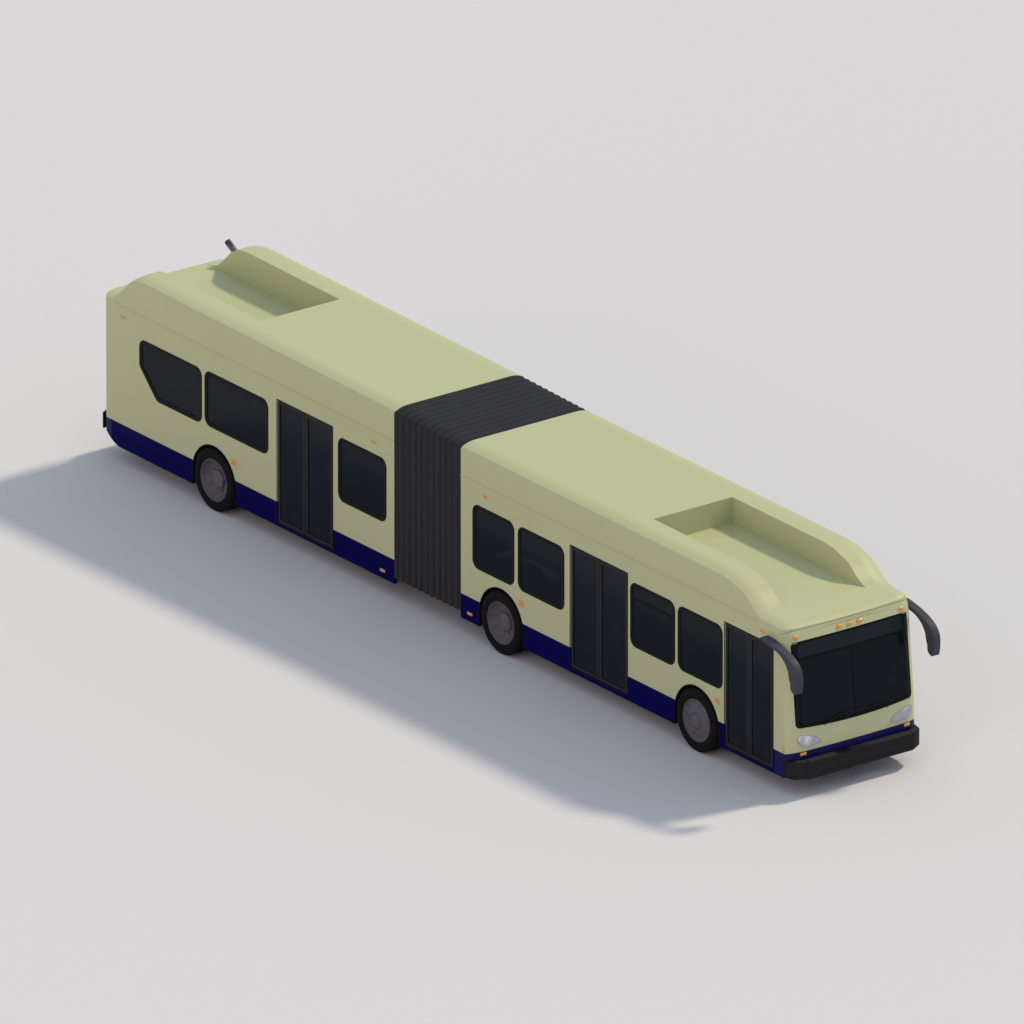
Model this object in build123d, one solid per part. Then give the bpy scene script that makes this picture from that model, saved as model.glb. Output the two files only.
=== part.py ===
from build123d import *
import math
import os

# Sizes in millimetres. +X is forward, +Y is the bus's left side, +Z is up, Z = 0 is the ground.
# Stations along the bus are measured from the middle between the two bumper faces, as on a side drawing.
# At the end every piece moves back by frame_shift, because the mirrors reach ahead of the front bumper.
overall_length = 18708
overall_width = 2590
half_length = overall_length / 2
half_width = overall_width / 2
mirror_reach = 186
frame_shift = mirror_reach / 2
wall = 60
inner_half = half_width - wall
past = 1  # cutting bodies reach this far past the face that they open

# The turning point between the two sections, and the bellows round it
pivot_at = -415
bellows_half = 890
front_joint = pivot_at + bellows_half
rear_joint = pivot_at - bellows_half

# The two ends of the body behind the bumper faces
front_bumper_ahead = 144
rear_bumper_behind = 164
mask_face = half_length - front_bumper_ahead
mask_depth = 430
mask_back = mask_face - mask_depth
tail_face = rear_bumper_behind - half_length
tail_depth = 260
tail_front = tail_face + tail_depth

# The three axles and their wheels
front_overhang = 2624
rear_overhang = 3204
middle_axle_ahead = 1965
front_axle_at = half_length - front_overhang
middle_axle_at = pivot_at + middle_axle_ahead
rear_axle_at = rear_overhang - half_length
tyre_radius = 530
tyre_width = 280
tyre_proud = 28
tyre_face = half_width + tyre_proud
twin_pitch = 330
twin_inner_face = tyre_face - tyre_width - twin_pitch
rim_radius = 357
tyre_gap = 0.3
arch_gap = 55
arch_radius = tyre_radius + arch_gap
kingpin_inside = 340
kingpin_y = tyre_face - kingpin_inside
kingpin_radius = 28
stub_radius = 60
stub_inside = 110
stub_end = tyre_face - stub_inside
running_gap = 0.05

# Heights of the body
skirt_bottom = 283
skirt_top = 700
floor_thick = 90
floor_top = 390
floor_bottom = floor_top - floor_thick
cove_bottom = 2640
roof_top = 3274
roof_skin = 50
edge_width = 280
edge_slope = 25
platform_top = 850
step_top = 620
engine_deck_top = 1430
deck_thick = 60

# Roof wells: their side walls stand this far inside the body's sides
well_shoulder = 508
well_half = half_width - well_shoulder
well_floor = 2840
well_skin = 40
front_well_back = half_length - 4442
front_well_front = half_length - 934
rear_well_front = 3795 - half_length

# Doors
door_gap = 8
leaf_thick = 40
leaf_inset = 5
leaf_stile = 60
leaf_middle_gap = 12
pane_thick = 10
glass_inset = 12

# What the side openings are measured from: the front bumper's face, the pivot or the rear bumper's face
datums = {"nose": half_length, "pivot": pivot_at, "tail": -half_length}

# Doorways on the right side: name, datum, rear edge, front edge, sill, head, section
doorways = [
    ("front_door", "nose", -1891, -617, 343, 2453, "front"),
    ("middle_door", "pivot", 3803, 5315, 367, 2458, "front"),
    ("rear_door", "pivot", -4032, -2538, 341, 2466, "rear"),
]

# Side windows: datum, rear edge, front edge, bottom, top, cut across the lower rear corner, side, section
window_radius = 140
windows = [
    ("nose", -3115, -1950, 1270, 2350, 0, "right", "front"),
    ("nose", -4369, -3203, 1270, 2350, 0, "right", "front"),
    ("pivot", 2419, 3635, 1270, 2350, 0, "right", "front"),
    ("pivot", 1214, 2307, 1270, 2350, 0, "right", "front"),
    ("pivot", -2384, -1106, 1270, 2350, 0, "right", "rear"),
    ("tail", 2963, 4662, 1430, 2360, 0, "right", "rear"),
    ("tail", 1198, 2870, 1410, 2340, 470, "right", "rear"),
    ("nose", -1834, -714, 1150, 2350, 0, "left", "front"),
    ("nose", -3115, -1950, 1270, 2350, 0, "left", "front"),
    ("nose", -4369, -3203, 1270, 2350, 0, "left", "front"),
    ("pivot", 3863, 5255, 1270, 2350, 0, "left", "front"),
    ("pivot", 2419, 3635, 1270, 2350, 0, "left", "front"),
    ("pivot", 1214, 2307, 1270, 2350, 0, "left", "front"),
    ("pivot", -2384, -1106, 1270, 2350, 0, "left", "rear"),
    ("pivot", -3985, -2585, 1270, 2350, 0, "left", "rear"),
    ("tail", 2963, 4662, 1430, 2360, 0, "left", "rear"),
    ("tail", 1198, 2870, 1410, 2340, 470, "left", "rear"),
]

# Roof sections towards each end: distance from that end's bumper face, height of the side edge, of the crown
side_edge_front = 3167
side_edge_rear = 3212
rear_roof_top = 3314
front_roof_ends = [
    (2054, side_edge_front, roof_top),
    (1794, 3145, 3252),
    (1404, 3030, 3140),
    (1174, 2850, 2962),
    (974, 2738, 2852),
    (683, 2690, 2835),
    (504, 2672, 2820),
    (356, 2658, 2727),
]
rear_roof_ends = [
    (1274, 3270, 3375),
    (1054, 3240, 3345),
    (874, 3140, 3245),
    (654, 2930, 3035),
    (494, 2800, 2890),
    (354, 2775, 2850),
    (94, 2764, 2836),
]
front_roof_rows = [(front_joint, side_edge_front, roof_top)]
front_roof_rows += [(half_length - back, side, crown) for back, side, crown in front_roof_ends]
rear_roof_rows = [(rear_joint, side_edge_rear, rear_roof_top)]
rear_roof_rows += [(ahead - half_length, side, crown) for ahead, side, crown in rear_roof_ends]

# Front end: height, and how far its face on the centre line lies behind mask_face
mask_rows = [(skirt_bottom, -2), (skirt_top, 0), (1080, 10), (2530, 158), (cove_bottom, 195)]
cap_row = (2727, 235)
mask_bow = 21
mask_corner_wide = 268
mask_corner_deep = 160
screen_half = 1150
screen_bottom = 1155
screen_sag = 56
screen_top = 2530
screen_corner = 70
screen_thick = 12

# Bumpers, in plan: distance behind the face, and how far inside the body's side the beam's corner lies
front_bumper_bottom = 308
front_bumper_top = 590
front_bumper_plan = [(0, 267), (124, 44), (324, 0)]
rear_bumper_bottom = 448
rear_bumper_top = 715
rear_bumper_plan = [(0, 267), (124, 44), (150, 44)]
bumper_deep = 150
bumper_end_thick = 70
bumper_back = half_length - front_bumper_plan[2][0] - 10
bumper_room = 5

# The rear end's lower edge sweeps up in an arc to its bumper
sweep_ahead = 704
sweep_radius = 550
sweep_dip = 2


def box(x0, x1, y0, y1, z0, z1):
    """A block between two corners."""
    return Pos((x0 + x1) / 2, (y0 + y1) / 2, (z0 + z1) / 2) * Box(x1 - x0, y1 - y0, z1 - z0)


def side_box(x0, x1, side, near, far, z0, z1):
    """A block on one side of the bus, between two distances from the centre line."""
    return box(x0, x1, *sorted((side * near, side * far)), z0, z1)


def bar_y(x, z, radius, y0, y1):
    """A round bar along Y."""
    return Pos(x, (y0 + y1) / 2, z) * Rot(90, 0, 0) * Cylinder(radius, abs(y1 - y0))


def bar_z(x, y, radius, z0, z1):
    """An upright round bar."""
    return Pos(x, y, (z0 + z1) / 2) * Cylinder(radius, z1 - z0)


def side_slab(outline, y0, y1):
    """A panel whose outline lies in the side view, from y0 to y1."""
    face = make_face(Polyline(*[(x, y0, z) for x, z in outline], close=True))
    return extrude(face, amount=y1 - y0, dir=(0, 1, 0))


def solids_of(*shapes):
    """The separate solids of one node's pieces."""
    return [solid for shape in shapes for solid in shape.solids()]


# Roof: a shell with rounded long edges
def edge_radii(width, height):
    """The two arcs of a roof edge: a tight one at the side, then a wide one that ends level."""
    slope = math.radians(edge_slope)
    sine, cosine = math.sin(slope), math.cos(slope)
    wide = (width * cosine - height * (1 - sine)) / (sine * cosine - (1 - sine) * (1 - cosine))
    tight = (height - wide * (1 - cosine)) / cosine
    return tight, wide


def roof_section(station, side_top, crown, half, bottom):
    """Outline of the roof across the bus: side, two arcs, crown, two arcs, side."""
    tight, wide = edge_radii(edge_width, crown - side_top)
    slope = math.radians(edge_slope)

    def arcs(side):
        def point(inside, height):
            return Vector(station, side * (half - inside), height)

        turn = (math.pi / 2 - slope) / 2
        start = point(0, side_top)
        on_tight = point(tight * (1 - math.cos(turn)), side_top + tight * math.sin(turn))
        middle = point(tight * (1 - math.sin(slope)), side_top + tight * math.cos(slope))
        on_wide = point(edge_width - wide * math.sin(slope / 2), crown - wide * (1 - math.cos(slope / 2)))
        return start, on_tight, middle, on_wide, point(edge_width, crown)

    right, left = arcs(-1), arcs(1)
    foot_right = Vector(station, -half, bottom)
    foot_left = Vector(station, half, bottom)
    return make_face(
        [
            Line(foot_right, right[0]),
            ThreePointArc(right[0], right[1], right[2]),
            ThreePointArc(right[2], right[3], right[4]),
            Line(right[4], left[4]),
            ThreePointArc(left[4], left[3], left[2]),
            ThreePointArc(left[2], left[1], left[0]),
            Line(left[0], foot_left),
            Line(foot_left, foot_right),
        ]
    )


def roof_body(rows, inset, bottom):
    """Ruled body through the roof sections, drawn in by inset at the sides and the crown."""
    faces = [
        roof_section(station, side_top - inset, crown - inset, half_width - inset, bottom)
        for station, side_top, crown in rows
    ]
    return loft(faces, ruled=True)


def roof(rows, well_from, well_to, end_outer, end_inner):
    """Roof shell with its well. The end bodies give the plan of its closed end, outside and inside."""
    outer = roof_body(rows, 0, cove_bottom) & end_outer
    direction = 1 if rows[-1][0] > rows[0][0] else -1
    open_rows = [(rows[0][0] - direction * past, *rows[0][1:])] + rows[1:]
    shell = outer - (roof_body(open_rows, roof_skin, cove_bottom - wall) & end_inner)
    low, high = sorted((well_from, well_to))
    above = max(roof_top, rear_roof_top) + edge_width
    liner = box(low - well_skin, high + well_skin, -well_half - well_skin, well_half + well_skin,
                well_floor - well_skin, above)
    return (shell + (liner & outer)) - box(low, high, -well_half, well_half, well_floor, above)


# Side walls and skirts
def doorway_box(row, low_edge):
    """The hole that a doorway makes, from low_edge up."""
    name, datum, rear_edge, front_edge, sill, head, section = row
    at = datums[datum]
    return side_box(at + rear_edge, at + front_edge, -1, inner_half - past, half_width + past,
                    max(sill, low_edge), head)


def window_shape(row, y0, y1):
    """A window's rounded outline as a slab from y0 to y1."""
    datum, rear_edge, front_edge, z0, z1, cut, side, section = row
    x0, x1 = datums[datum] + rear_edge, datums[datum] + front_edge
    outline = [(x0, z1), (x0, z0 + cut), (x0 + cut, z0), (x1, z0), (x1, z1)]
    if not cut:
        outline = [(x0, z1), (x0, z0), (x1, z0), (x1, z1)]
    slab = side_slab(outline, y0, y1)
    return fillet(slab.edges().filter_by(Axis.Y), window_radius)


def arch_hole(station, side):
    """The wheel arch's hole through wall and skirt."""
    return bar_y(station, tyre_radius, arch_radius, side * (inner_half - past), side * (half_width + past))


def side_wall(section, side, rear_end, front_end, axles):
    """Side wall above the skirt, with its windows, doorways and wheel arches cut."""
    y0, y1 = sorted((side * inner_half, side * half_width))
    panel = box(rear_end, front_end, y0, y1, skirt_top, cove_bottom)
    for row in windows:
        if row[7] == section and row[6] == ("right" if side < 0 else "left"):
            panel -= window_shape(row, y0 - past, y1 + past)
    for row in doorways:
        if row[6] == section and side < 0:
            panel -= doorway_box(row, skirt_bottom)
    for station in axles:
        panel -= arch_hole(station, side)
    return panel


def under_sweep():
    """The space under the arc in which the rear end's lower edge rises to the bumper."""
    start = sweep_ahead - half_length
    space = box(-half_length, start, -half_width - past, half_width + past, 0, rear_bumper_bottom)
    middle = skirt_bottom + sweep_radius - sweep_dip
    return space - bar_y(start, middle, sweep_radius, -half_width - 2 * past, half_width + 2 * past)


def skirts(section, rear_end, front_end, axles):
    """Lower side panels of one section, both sides, broken by the arches and notched by the doorways."""
    pieces = []
    for side in (-1, 1):
        panel = side_box(rear_end, front_end, side, inner_half, half_width, skirt_bottom, skirt_top)
        for station in axles:
            panel -= arch_hole(station, side)
            panel -= side_box(station - arch_radius, station + arch_radius, side, inner_half - past,
                              half_width + past, 0, tyre_radius)
        for row in doorways:
            if row[6] == section and side < 0:
                panel -= doorway_box(row, skirt_bottom)
        if section == "rear":
            panel -= under_sweep()
        pieces.append(panel)
    return solids_of(*pieces)


def side_glass(section):
    """The panes of one section, set back from the outer skin."""
    panes = []
    for row in windows:
        if row[7] == section:
            side = -1 if row[6] == "right" else 1
            outer = side * (half_width - glass_inset)
            panes.append(window_shape(row, *sorted((outer, outer - side * pane_thick))))
    return solids_of(*panes)


# Doors: each doorway has two leaves, each turning on the round stile at its outer edge
def leaf_parts(row, leaf):
    """Frame and pane of one door leaf."""
    name, datum, rear_edge, front_edge, sill, head, section = row
    middle = datums[datum] + (rear_edge + front_edge) / 2
    post = leaf_thick / 2
    if leaf == "rear":
        hinge_x, free_x = datums[datum] + rear_edge + door_gap + post, middle - leaf_middle_gap / 2
    else:
        hinge_x, free_x = datums[datum] + front_edge - door_gap - post, middle + leaf_middle_gap / 2
    z0, z1 = sill + door_gap, head - door_gap
    hinge_y = leaf_inset + post - half_width
    x0, x1 = sorted((hinge_x, free_x))
    slab = box(x0, x1, hinge_y - post, hinge_y + post, z0, z1) + bar_z(hinge_x, hinge_y, post, z0, z1)
    inward = 1 if leaf == "rear" else -1
    glass_x = sorted((hinge_x + inward * (leaf_stile - post), free_x - inward * leaf_stile))
    glass_z = (z0 + leaf_stile, z1 - leaf_stile)
    frame = slab - box(*glass_x, hinge_y - post - past, hinge_y + post + past, *glass_z)
    pane = box(*glass_x, hinge_y - pane_thick / 2, hinge_y + pane_thick / 2, *glass_z)
    return frame, pane


# Front end: a shell that is bowed in plan, rounded at its corners, and leans back
def plan_section(height, face_at, back, inset, corner, bow):
    """An end's outline in plan at one height, drawn in by inset, facing the way that face_at lies from back.
    corner is (width, depth) of the arcs at its outer corners."""
    ahead = 1 if face_at > back else -1
    half = half_width - inset
    face = face_at - ahead * inset
    shoulder = face - ahead * bow
    start = back - ahead * (past if inset else 0)
    wide, deep = corner
    radius = (wide ** 2 + deep ** 2) / (2 * deep) - inset
    turn = math.asin((wide - inset) / radius)
    front_y = half_width - wide

    def point(angle, side):
        return Vector(shoulder - ahead * radius * (1 - math.cos(angle)),
                      side * (front_y + radius * math.sin(angle)), height)

    back_right, back_left = Vector(start, -half, height), Vector(start, half, height)
    return make_face(
        [
            Line(back_right, point(turn, -1)),
            ThreePointArc(point(turn, -1), point(turn / 2, -1), point(0, -1)),
            ThreePointArc(point(0, -1), Vector(face, 0, height), point(0, 1)),
            ThreePointArc(point(0, 1), point(turn / 2, 1), point(turn, 1)),
            Line(point(turn, 1), back_left),
            Line(back_left, back_right),
        ]
    )


def nose_body(rows, inset):
    """A body through plan sections of the front end, each a row as in mask_rows."""
    corner = (mask_corner_wide, mask_corner_deep)
    return loft([plan_section(height, mask_face - behind, mask_back, inset, corner, mask_bow)
                 for height, behind in rows], ruled=True)


def front_end_body(inset):
    """The front end below the roof."""
    rows = mask_rows
    if inset:
        rows = [(rows[0][0] - past, rows[0][1])] + rows[1:-1] + [(rows[-1][0] + past, rows[-1][1])]
    return nose_body(rows, inset)


def screen_prism():
    """The windscreen's outline, seen from the front. Its lower edge hangs down in the middle."""
    places = [(-screen_half, screen_bottom), (0, screen_bottom - screen_sag), (screen_half, screen_bottom),
              (screen_half, screen_top), (-screen_half, screen_top)]
    low_right, lowest, low_left, high_left, high_right = [Vector(mask_back, y, z) for y, z in places]
    face = make_face(
        [
            ThreePointArc(low_right, lowest, low_left),
            Line(low_left, high_left),
            Line(high_left, high_right),
            Line(high_right, low_right),
        ]
    )
    prism = extrude(face, amount=mask_depth + front_bumper_ahead, dir=(1, 0, 0))
    return fillet(prism.edges().filter_by(Axis.X), screen_corner)


# Headlamps: outline of one lamp seen from the front, as (distance from the centre line, height)
lamp_outline = [
    (680, 808), (725, 885), (815, 948), (1095, 1025), (1140, 1005), (1130, 900), (1075, 830), (985, 798),
]


def lamp_prism(side):
    """The hole for a headlamp."""
    face = make_face(Polyline(*[(mask_back, side * y, z) for y, z in lamp_outline], close=True))
    return extrude(face, amount=mask_depth + front_bumper_ahead, dir=(1, 0, 0))


def bumper(end, plan, bottom, top):
    """A bumper's beam: in plan its ends are bevelled. end is +1 at the front, -1 at the rear."""
    face_at = end * half_length
    half_outline = [(face_at - end * back, half_width - inside) for back, inside in plan]
    end_back = plan[2][0]
    if end_back > bumper_deep:
        half_outline.append((face_at - end * end_back, half_width - bumper_end_thick))
        half_outline.append((face_at - end * bumper_deep, half_width - plan[0][1] + bumper_end_thick / 2))
    outline = [(x, -y) for x, y in reversed(half_outline)] + half_outline
    face = make_face(Polyline(*[(x, y, bottom) for x, y in outline], close=True))
    return extrude(face, amount=top - bottom, dir=(0, 0, 1))


# Floors and the wheel housings built on them
box_wall = 30
swing_room = 25
twin_room = 110
bump_room = 90
box_top = 2 * tyre_radius + bump_room
box_half_length = math.hypot(tyre_radius, kingpin_inside) + swing_room
box_inner = twin_inner_face - twin_room


def wheel_box(station, side, grow, base):
    """The space that a wheel housing keeps free above base, grown by grow on its closed faces."""
    half_length_grown = box_half_length + grow
    outer = inner_half if grow else half_width
    return side_box(station - half_length_grown, station + half_length_grown, side, box_inner - grow, outer,
                    base, box_top + grow)


def with_wheel_boxes(floor, axles, base):
    """A floor with the wheel housings of the given axles built on, their walls down to base."""
    for station in axles:
        for side in (-1, 1):
            floor = floor + wheel_box(station, side, box_wall, base)
            floor -= wheel_box(station, side, 0, 0)
    return floor


# Wheels, turned about their axle
def turned(outline, station, centre, side):
    """A profile of (radius, distance outward from centre) turned about the axle."""
    points = [(station + radius, side * (centre + out), tyre_radius) for radius, out in outline]
    face = make_face(Polyline(*points, close=True))
    return revolve(face, Axis((station, 0, tyre_radius), (0, 1, 0)), 360)


half_tyre = tyre_width / 2
tyre_centre = tyre_face - half_tyre
bead_inset = 20
half_rim = half_tyre - bead_inset
tyre_shoulder = 45
tread_round = 14
shoulder_in = 20
sidewall_rise = 60
sidewall_tuck = 4


def tyre(station, side, centre):
    """A tyre: tread, rounded shoulders and side walls down to the rim."""
    bead = rim_radius + tyre_gap
    half = [
        (bead, half_rim),
        (bead + sidewall_rise, half_tyre),
        (tyre_radius - tyre_shoulder, half_tyre - sidewall_tuck),
        (tyre_radius - tread_round, half_tyre - shoulder_in),
        (tyre_radius, half_tyre - tyre_shoulder),
    ]
    outline = half + [(radius, -out) for radius, out in reversed(half)]
    return turned(outline, station, centre, side)


hub_bulge = 45
hub_dish = 121
hub_radius = 160
hub_rise = 20
hub_wall = 30
hub_inside = 35
dished_hub_height = 60
rim_thick = 16
rim_step = 40
disc_thick = 30
disc_lean = 10
dish_width = 110
inner_slope = 60
bore_radius = stub_radius + running_gap


def front_rim(station, side):
    """Front wheel: rim and a disc that bulges outward to the hub."""
    disc = half_rim - disc_thick
    hub_face = disc + hub_bulge
    hub_back = hub_inside - half_rim
    disc_back = disc - disc_thick
    bell = rim_radius - rim_thick
    outline = [
        (rim_radius, -half_rim), (rim_radius, half_rim), (bell, half_rim), (rim_radius - rim_step, disc),
        (hub_radius + hub_rise, hub_face - hub_rise), (hub_radius, hub_face), (bore_radius, hub_face),
        (bore_radius, hub_back), (hub_radius - hub_wall, hub_back), (hub_radius - hub_wall, disc_back),
        (bell - rim_step, disc_back - disc_lean), (bell, disc_back - 2 * disc_lean), (bell, -half_rim),
    ]
    return turned(outline, station, tyre_centre, side)


def twin_rims(station, side):
    """Twin wheels: the outer disc is dished in to the hub, the inner rim is bolted behind it."""
    disc = half_rim - disc_thick - hub_dish
    disc_face = disc + hub_rise
    disc_back = disc - disc_thick
    hub_face = disc + dished_hub_height
    dish_foot = rim_radius - dish_width
    bell = rim_radius - rim_thick
    outer = [
        (rim_radius, -half_rim), (rim_radius, half_rim), (bell, half_rim),
        (rim_radius - rim_step, half_rim - rim_step), (dish_foot, disc_face), (hub_radius, disc_face),
        (hub_radius - hub_rise, hub_face), (bore_radius, hub_face), (bore_radius, disc_back),
        (dish_foot, disc_back), (bell, -half_rim),
    ]
    face = disc_back + twin_pitch
    inner = [
        (rim_radius, -half_rim), (rim_radius, half_rim), (bell, half_rim), (dish_foot, face),
        (bore_radius, face), (bore_radius, face - disc_thick), (dish_foot - hub_wall, face - disc_thick),
        (bell, half_rim - inner_slope), (bell, -half_rim),
    ]
    return turned(outer, station, tyre_centre, side) + turned(inner, station, tyre_centre - twin_pitch, side)


# Axle beams
beam_bottom = 165
beam_depth = 110
beam_half = 60
eye_radius = 62
eye_half = 70
crank_y = kingpin_y - kingpin_inside + 10
low_slant = 40
top_slant = 80
turn_inside = 95
eye_outside = 30


def cranked_beam(station):
    """A dropped axle beam: low under the aisle, then up to the two kingpin eyes."""
    low, high, up = beam_bottom, beam_bottom + beam_depth, tyre_radius
    turn_y, end_y = kingpin_y - turn_inside, kingpin_y + eye_outside
    half = [
        (crank_y, low), (turn_y, up - beam_half), (end_y, up - beam_half), (end_y, up + beam_half),
        (turn_y - top_slant, up + beam_half), (crank_y - low_slant, high),
    ]
    outline = half + [(-y, z) for y, z in reversed(half)]
    face = make_face(Polyline(*[(station - beam_half, y, z) for y, z in outline], close=True))
    beam = extrude(face, amount=2 * beam_half, dir=(1, 0, 0))
    for side in (-1, 1):
        beam += bar_z(station, side * kingpin_y, eye_radius, up - eye_half, up + eye_half)
        beam -= bar_z(station, side * kingpin_y, kingpin_radius + running_gap, low, up + eye_half + past)
    return beam


parts = {}
both_front_axles = [front_axle_at, middle_axle_at]

# Floors. The rear floor in the side view: low aisle, one step, platform over the axle, deck over the engine
low_floor = box(mask_back, bumper_back, -inner_half, inner_half, floor_bottom, floor_top)
low_floor &= front_end_body(wall)
low_floor += box(front_joint, mask_back, -inner_half, inner_half, floor_bottom, floor_top)
parts["front_floor"] = with_wheel_boxes(low_floor, both_front_axles, floor_bottom)

step_at = pivot_at - 4145
platform_at = step_at - 340
deck_at = 1754 - half_length
deck_end = tail_face + 110
rail_high = platform_top - floor_thick
rear_steps = [
    (rear_joint, floor_top), (step_at, floor_top), (step_at, step_top), (platform_at, step_top),
    (platform_at, platform_top), (deck_at, platform_top), (deck_at, engine_deck_top),
    (deck_end, engine_deck_top), (deck_end, engine_deck_top - deck_thick),
    (deck_at - deck_thick, engine_deck_top - deck_thick),
    (deck_at - deck_thick, rail_high), (platform_at - floor_thick, rail_high),
    (platform_at - floor_thick, step_top - floor_thick), (step_at - floor_thick, step_top - floor_thick),
    (step_at - floor_thick, floor_bottom), (rear_joint, floor_bottom),
]
tail_corner = 120
tail_bow = 40


def tail_body(inset, low, high):
    """The rear end's body: straight sides, rounded corners, a slightly bowed face."""
    section = plan_section(low, tail_face, tail_front, inset, (tail_corner, tail_corner), tail_bow)
    return extrude(section, amount=high - low, dir=(0, 0, 1))


rear_inside = box(tail_front, rear_joint, -inner_half, inner_half, 0, cove_bottom)
rear_inside += tail_body(wall, 0, cove_bottom)
rear_slab = side_slab(rear_steps, -inner_half, inner_half) & rear_inside
rail_low = 640
rail_y = 430
rail_wide = 80
rail_end = tail_face + 160
for side in (-1, 1):
    rear_slab += side_box(rail_end, platform_at - floor_thick, side, rail_y, rail_y + rail_wide,
                          rail_low, rail_high)
parts["rear_floor"] = with_wheel_boxes(rear_slab, [rear_axle_at], rail_high - box_wall)

# Side walls, skirts and glass
parts["front_right_wall"] = side_wall("front", -1, front_joint, mask_back, both_front_axles)
parts["front_left_wall"] = side_wall("front", 1, front_joint, mask_back, both_front_axles)
parts["front_skirts"] = skirts("front", front_joint, mask_back, both_front_axles)
parts["front_side_glass"] = side_glass("front")
parts["rear_right_wall"] = side_wall("rear", -1, tail_front, rear_joint, [rear_axle_at])
parts["rear_left_wall"] = side_wall("rear", 1, tail_front, rear_joint, [rear_axle_at])
parts["rear_skirts"] = skirts("rear", tail_front, rear_joint, [rear_axle_at])
parts["rear_side_glass"] = side_glass("rear")

# Roofs: each closed end follows the plan of the front or rear end below it
cap_low = cove_bottom - wall - past
cap_high = max(roof_top, rear_roof_top) + edge_width


def plan_of_end(end, inset):
    """Everything inside the walls of one section at roof height, with the plan of its closed end."""
    half = half_width - inset
    if end == "front":
        rows = [mask_rows[-2], mask_rows[-1], cap_row, (cap_high, cap_row[1])]
        straight = box(front_joint - bellows_half, mask_back, -half, half, cap_low, cap_high)
        return nose_body(rows, inset) + straight
    straight = box(tail_front, rear_joint + bellows_half, -half, half, cap_low, cap_high)
    return tail_body(inset, cap_low, cap_high) + straight


parts["front_roof"] = roof(front_roof_rows, front_well_back, front_well_front,
                           plan_of_end("front", 0), plan_of_end("front", roof_skin))
rear_roof = roof(rear_roof_rows, rear_well_front, tail_face - wall,
                 plan_of_end("rear", 0), plan_of_end("rear", roof_skin))

# Front end, with its windscreen, headlamps and bumper
front_solid = front_end_body(0)
front_shell = front_solid - front_end_body(wall)
lamp_holes = [lamp_prism(side) for side in (-1, 1)]
bumper_space = box(bumper_back, half_length, -half_width, half_width, 0, front_bumper_top + bumper_room)
parts["windscreen"] = (front_solid - front_end_body(screen_thick)) & screen_prism()
parts["front_mask"] = front_shell - screen_prism() - bumper_space - lamp_holes[0] - lamp_holes[1]
parts["headlamps"] = solids_of(*[front_shell & hole for hole in lamp_holes])
horn_y = 380
horn_wide = 80
front_bumper = bumper(1, front_bumper_plan, front_bumper_bottom, front_bumper_top)
for side in (-1, 1):
    front_bumper += side_box(bumper_back, half_length - bumper_deep, side, horn_y, horn_y + horn_wide,
                             front_bumper_bottom + bumper_room, floor_top)
parts["front_bumper"] = front_bumper

# Rear end: a shell round the corners, with the tail lamps and the engine's door on two hinges at its top edge
tail_low = skirt_bottom
engine_opening = 395
engine_half = half_width - engine_opening
engine_low = 740
engine_high = 1700
lid_gap = 8
lid_axis_z = engine_high - lid_gap
lid_hinge_y = 470
barrel_radius = 20
barrel_half = 48
ear_width = 42
ear_gap = 2
barrel_room = 5
lid_pin_radius = 8
tail_lamp_low = 1000
tail_lamp_high = 1900
tail_lamp_in = half_width - 315
tail_lamp_out = half_width - 145
behind_tail = tail_face - wall
in_front_of_panel = tail_front - tail_corner


def tail_block(near, far, low, high, side=0):
    """A block through the rear face, on one side or, with side 0, across the middle."""
    if side:
        return side_box(behind_tail, in_front_of_panel, side, near, far, low, high)
    return box(behind_tail, in_front_of_panel, -far, far, low, high)


tail_solid = tail_body(0, tail_low, cove_bottom)
tail_shell = tail_solid - tail_body(wall, tail_low - past, cove_bottom + past)
lamp_stacks = [tail_block(tail_lamp_in, tail_lamp_out, tail_lamp_low, tail_lamp_high, side)
               for side in (-1, 1)]
parts["tail_lamps"] = solids_of(*[tail_shell & stack for stack in lamp_stacks])
tail_panel = tail_shell - tail_block(0, engine_half, engine_low, engine_high)
tail_panel = tail_panel - lamp_stacks[0] - lamp_stacks[1]
tail_panel -= box(-half_length, tail_front, -engine_half, engine_half, 0, rear_bumper_top + bumper_room)
tail_panel -= under_sweep()
door_shell = tail_solid - tail_body(leaf_thick, tail_low - past, cove_bottom + past)
lid = door_shell & tail_block(0, engine_half - lid_gap, engine_low + lid_gap, lid_axis_z)


def hinge_bar(radius, from_centre, to_centre, side):
    """A round bar on the lid's axis, between two distances from the middle of one hinge."""
    middle = side * lid_hinge_y
    return bar_y(tail_face, lid_axis_z, radius, middle + from_centre, middle + to_centre)


ear_near = barrel_half + ear_gap
ear_far = ear_near + ear_width
for side in (-1, 1):
    tail_panel -= hinge_bar(barrel_radius + barrel_room, -ear_near, ear_near, side)
    lid -= hinge_bar(barrel_radius + barrel_room, -ear_far - ear_gap, -barrel_half, side)
    lid -= hinge_bar(barrel_radius + barrel_room, barrel_half, ear_far + ear_gap, side)
    lid += hinge_bar(barrel_radius, -barrel_half, barrel_half, side)
    lid += hinge_bar(lid_pin_radius, -ear_far, ear_far, side)
    for near, far in ((-ear_far, -ear_near), (ear_near, ear_far)):
        tail_panel += hinge_bar(barrel_radius, near, far, side)
    tail_panel -= hinge_bar(lid_pin_radius + running_gap, -ear_far - past, ear_far + past, side)
parts["rear_end_panel"] = tail_panel
parts["engine_door"] = lid

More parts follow.
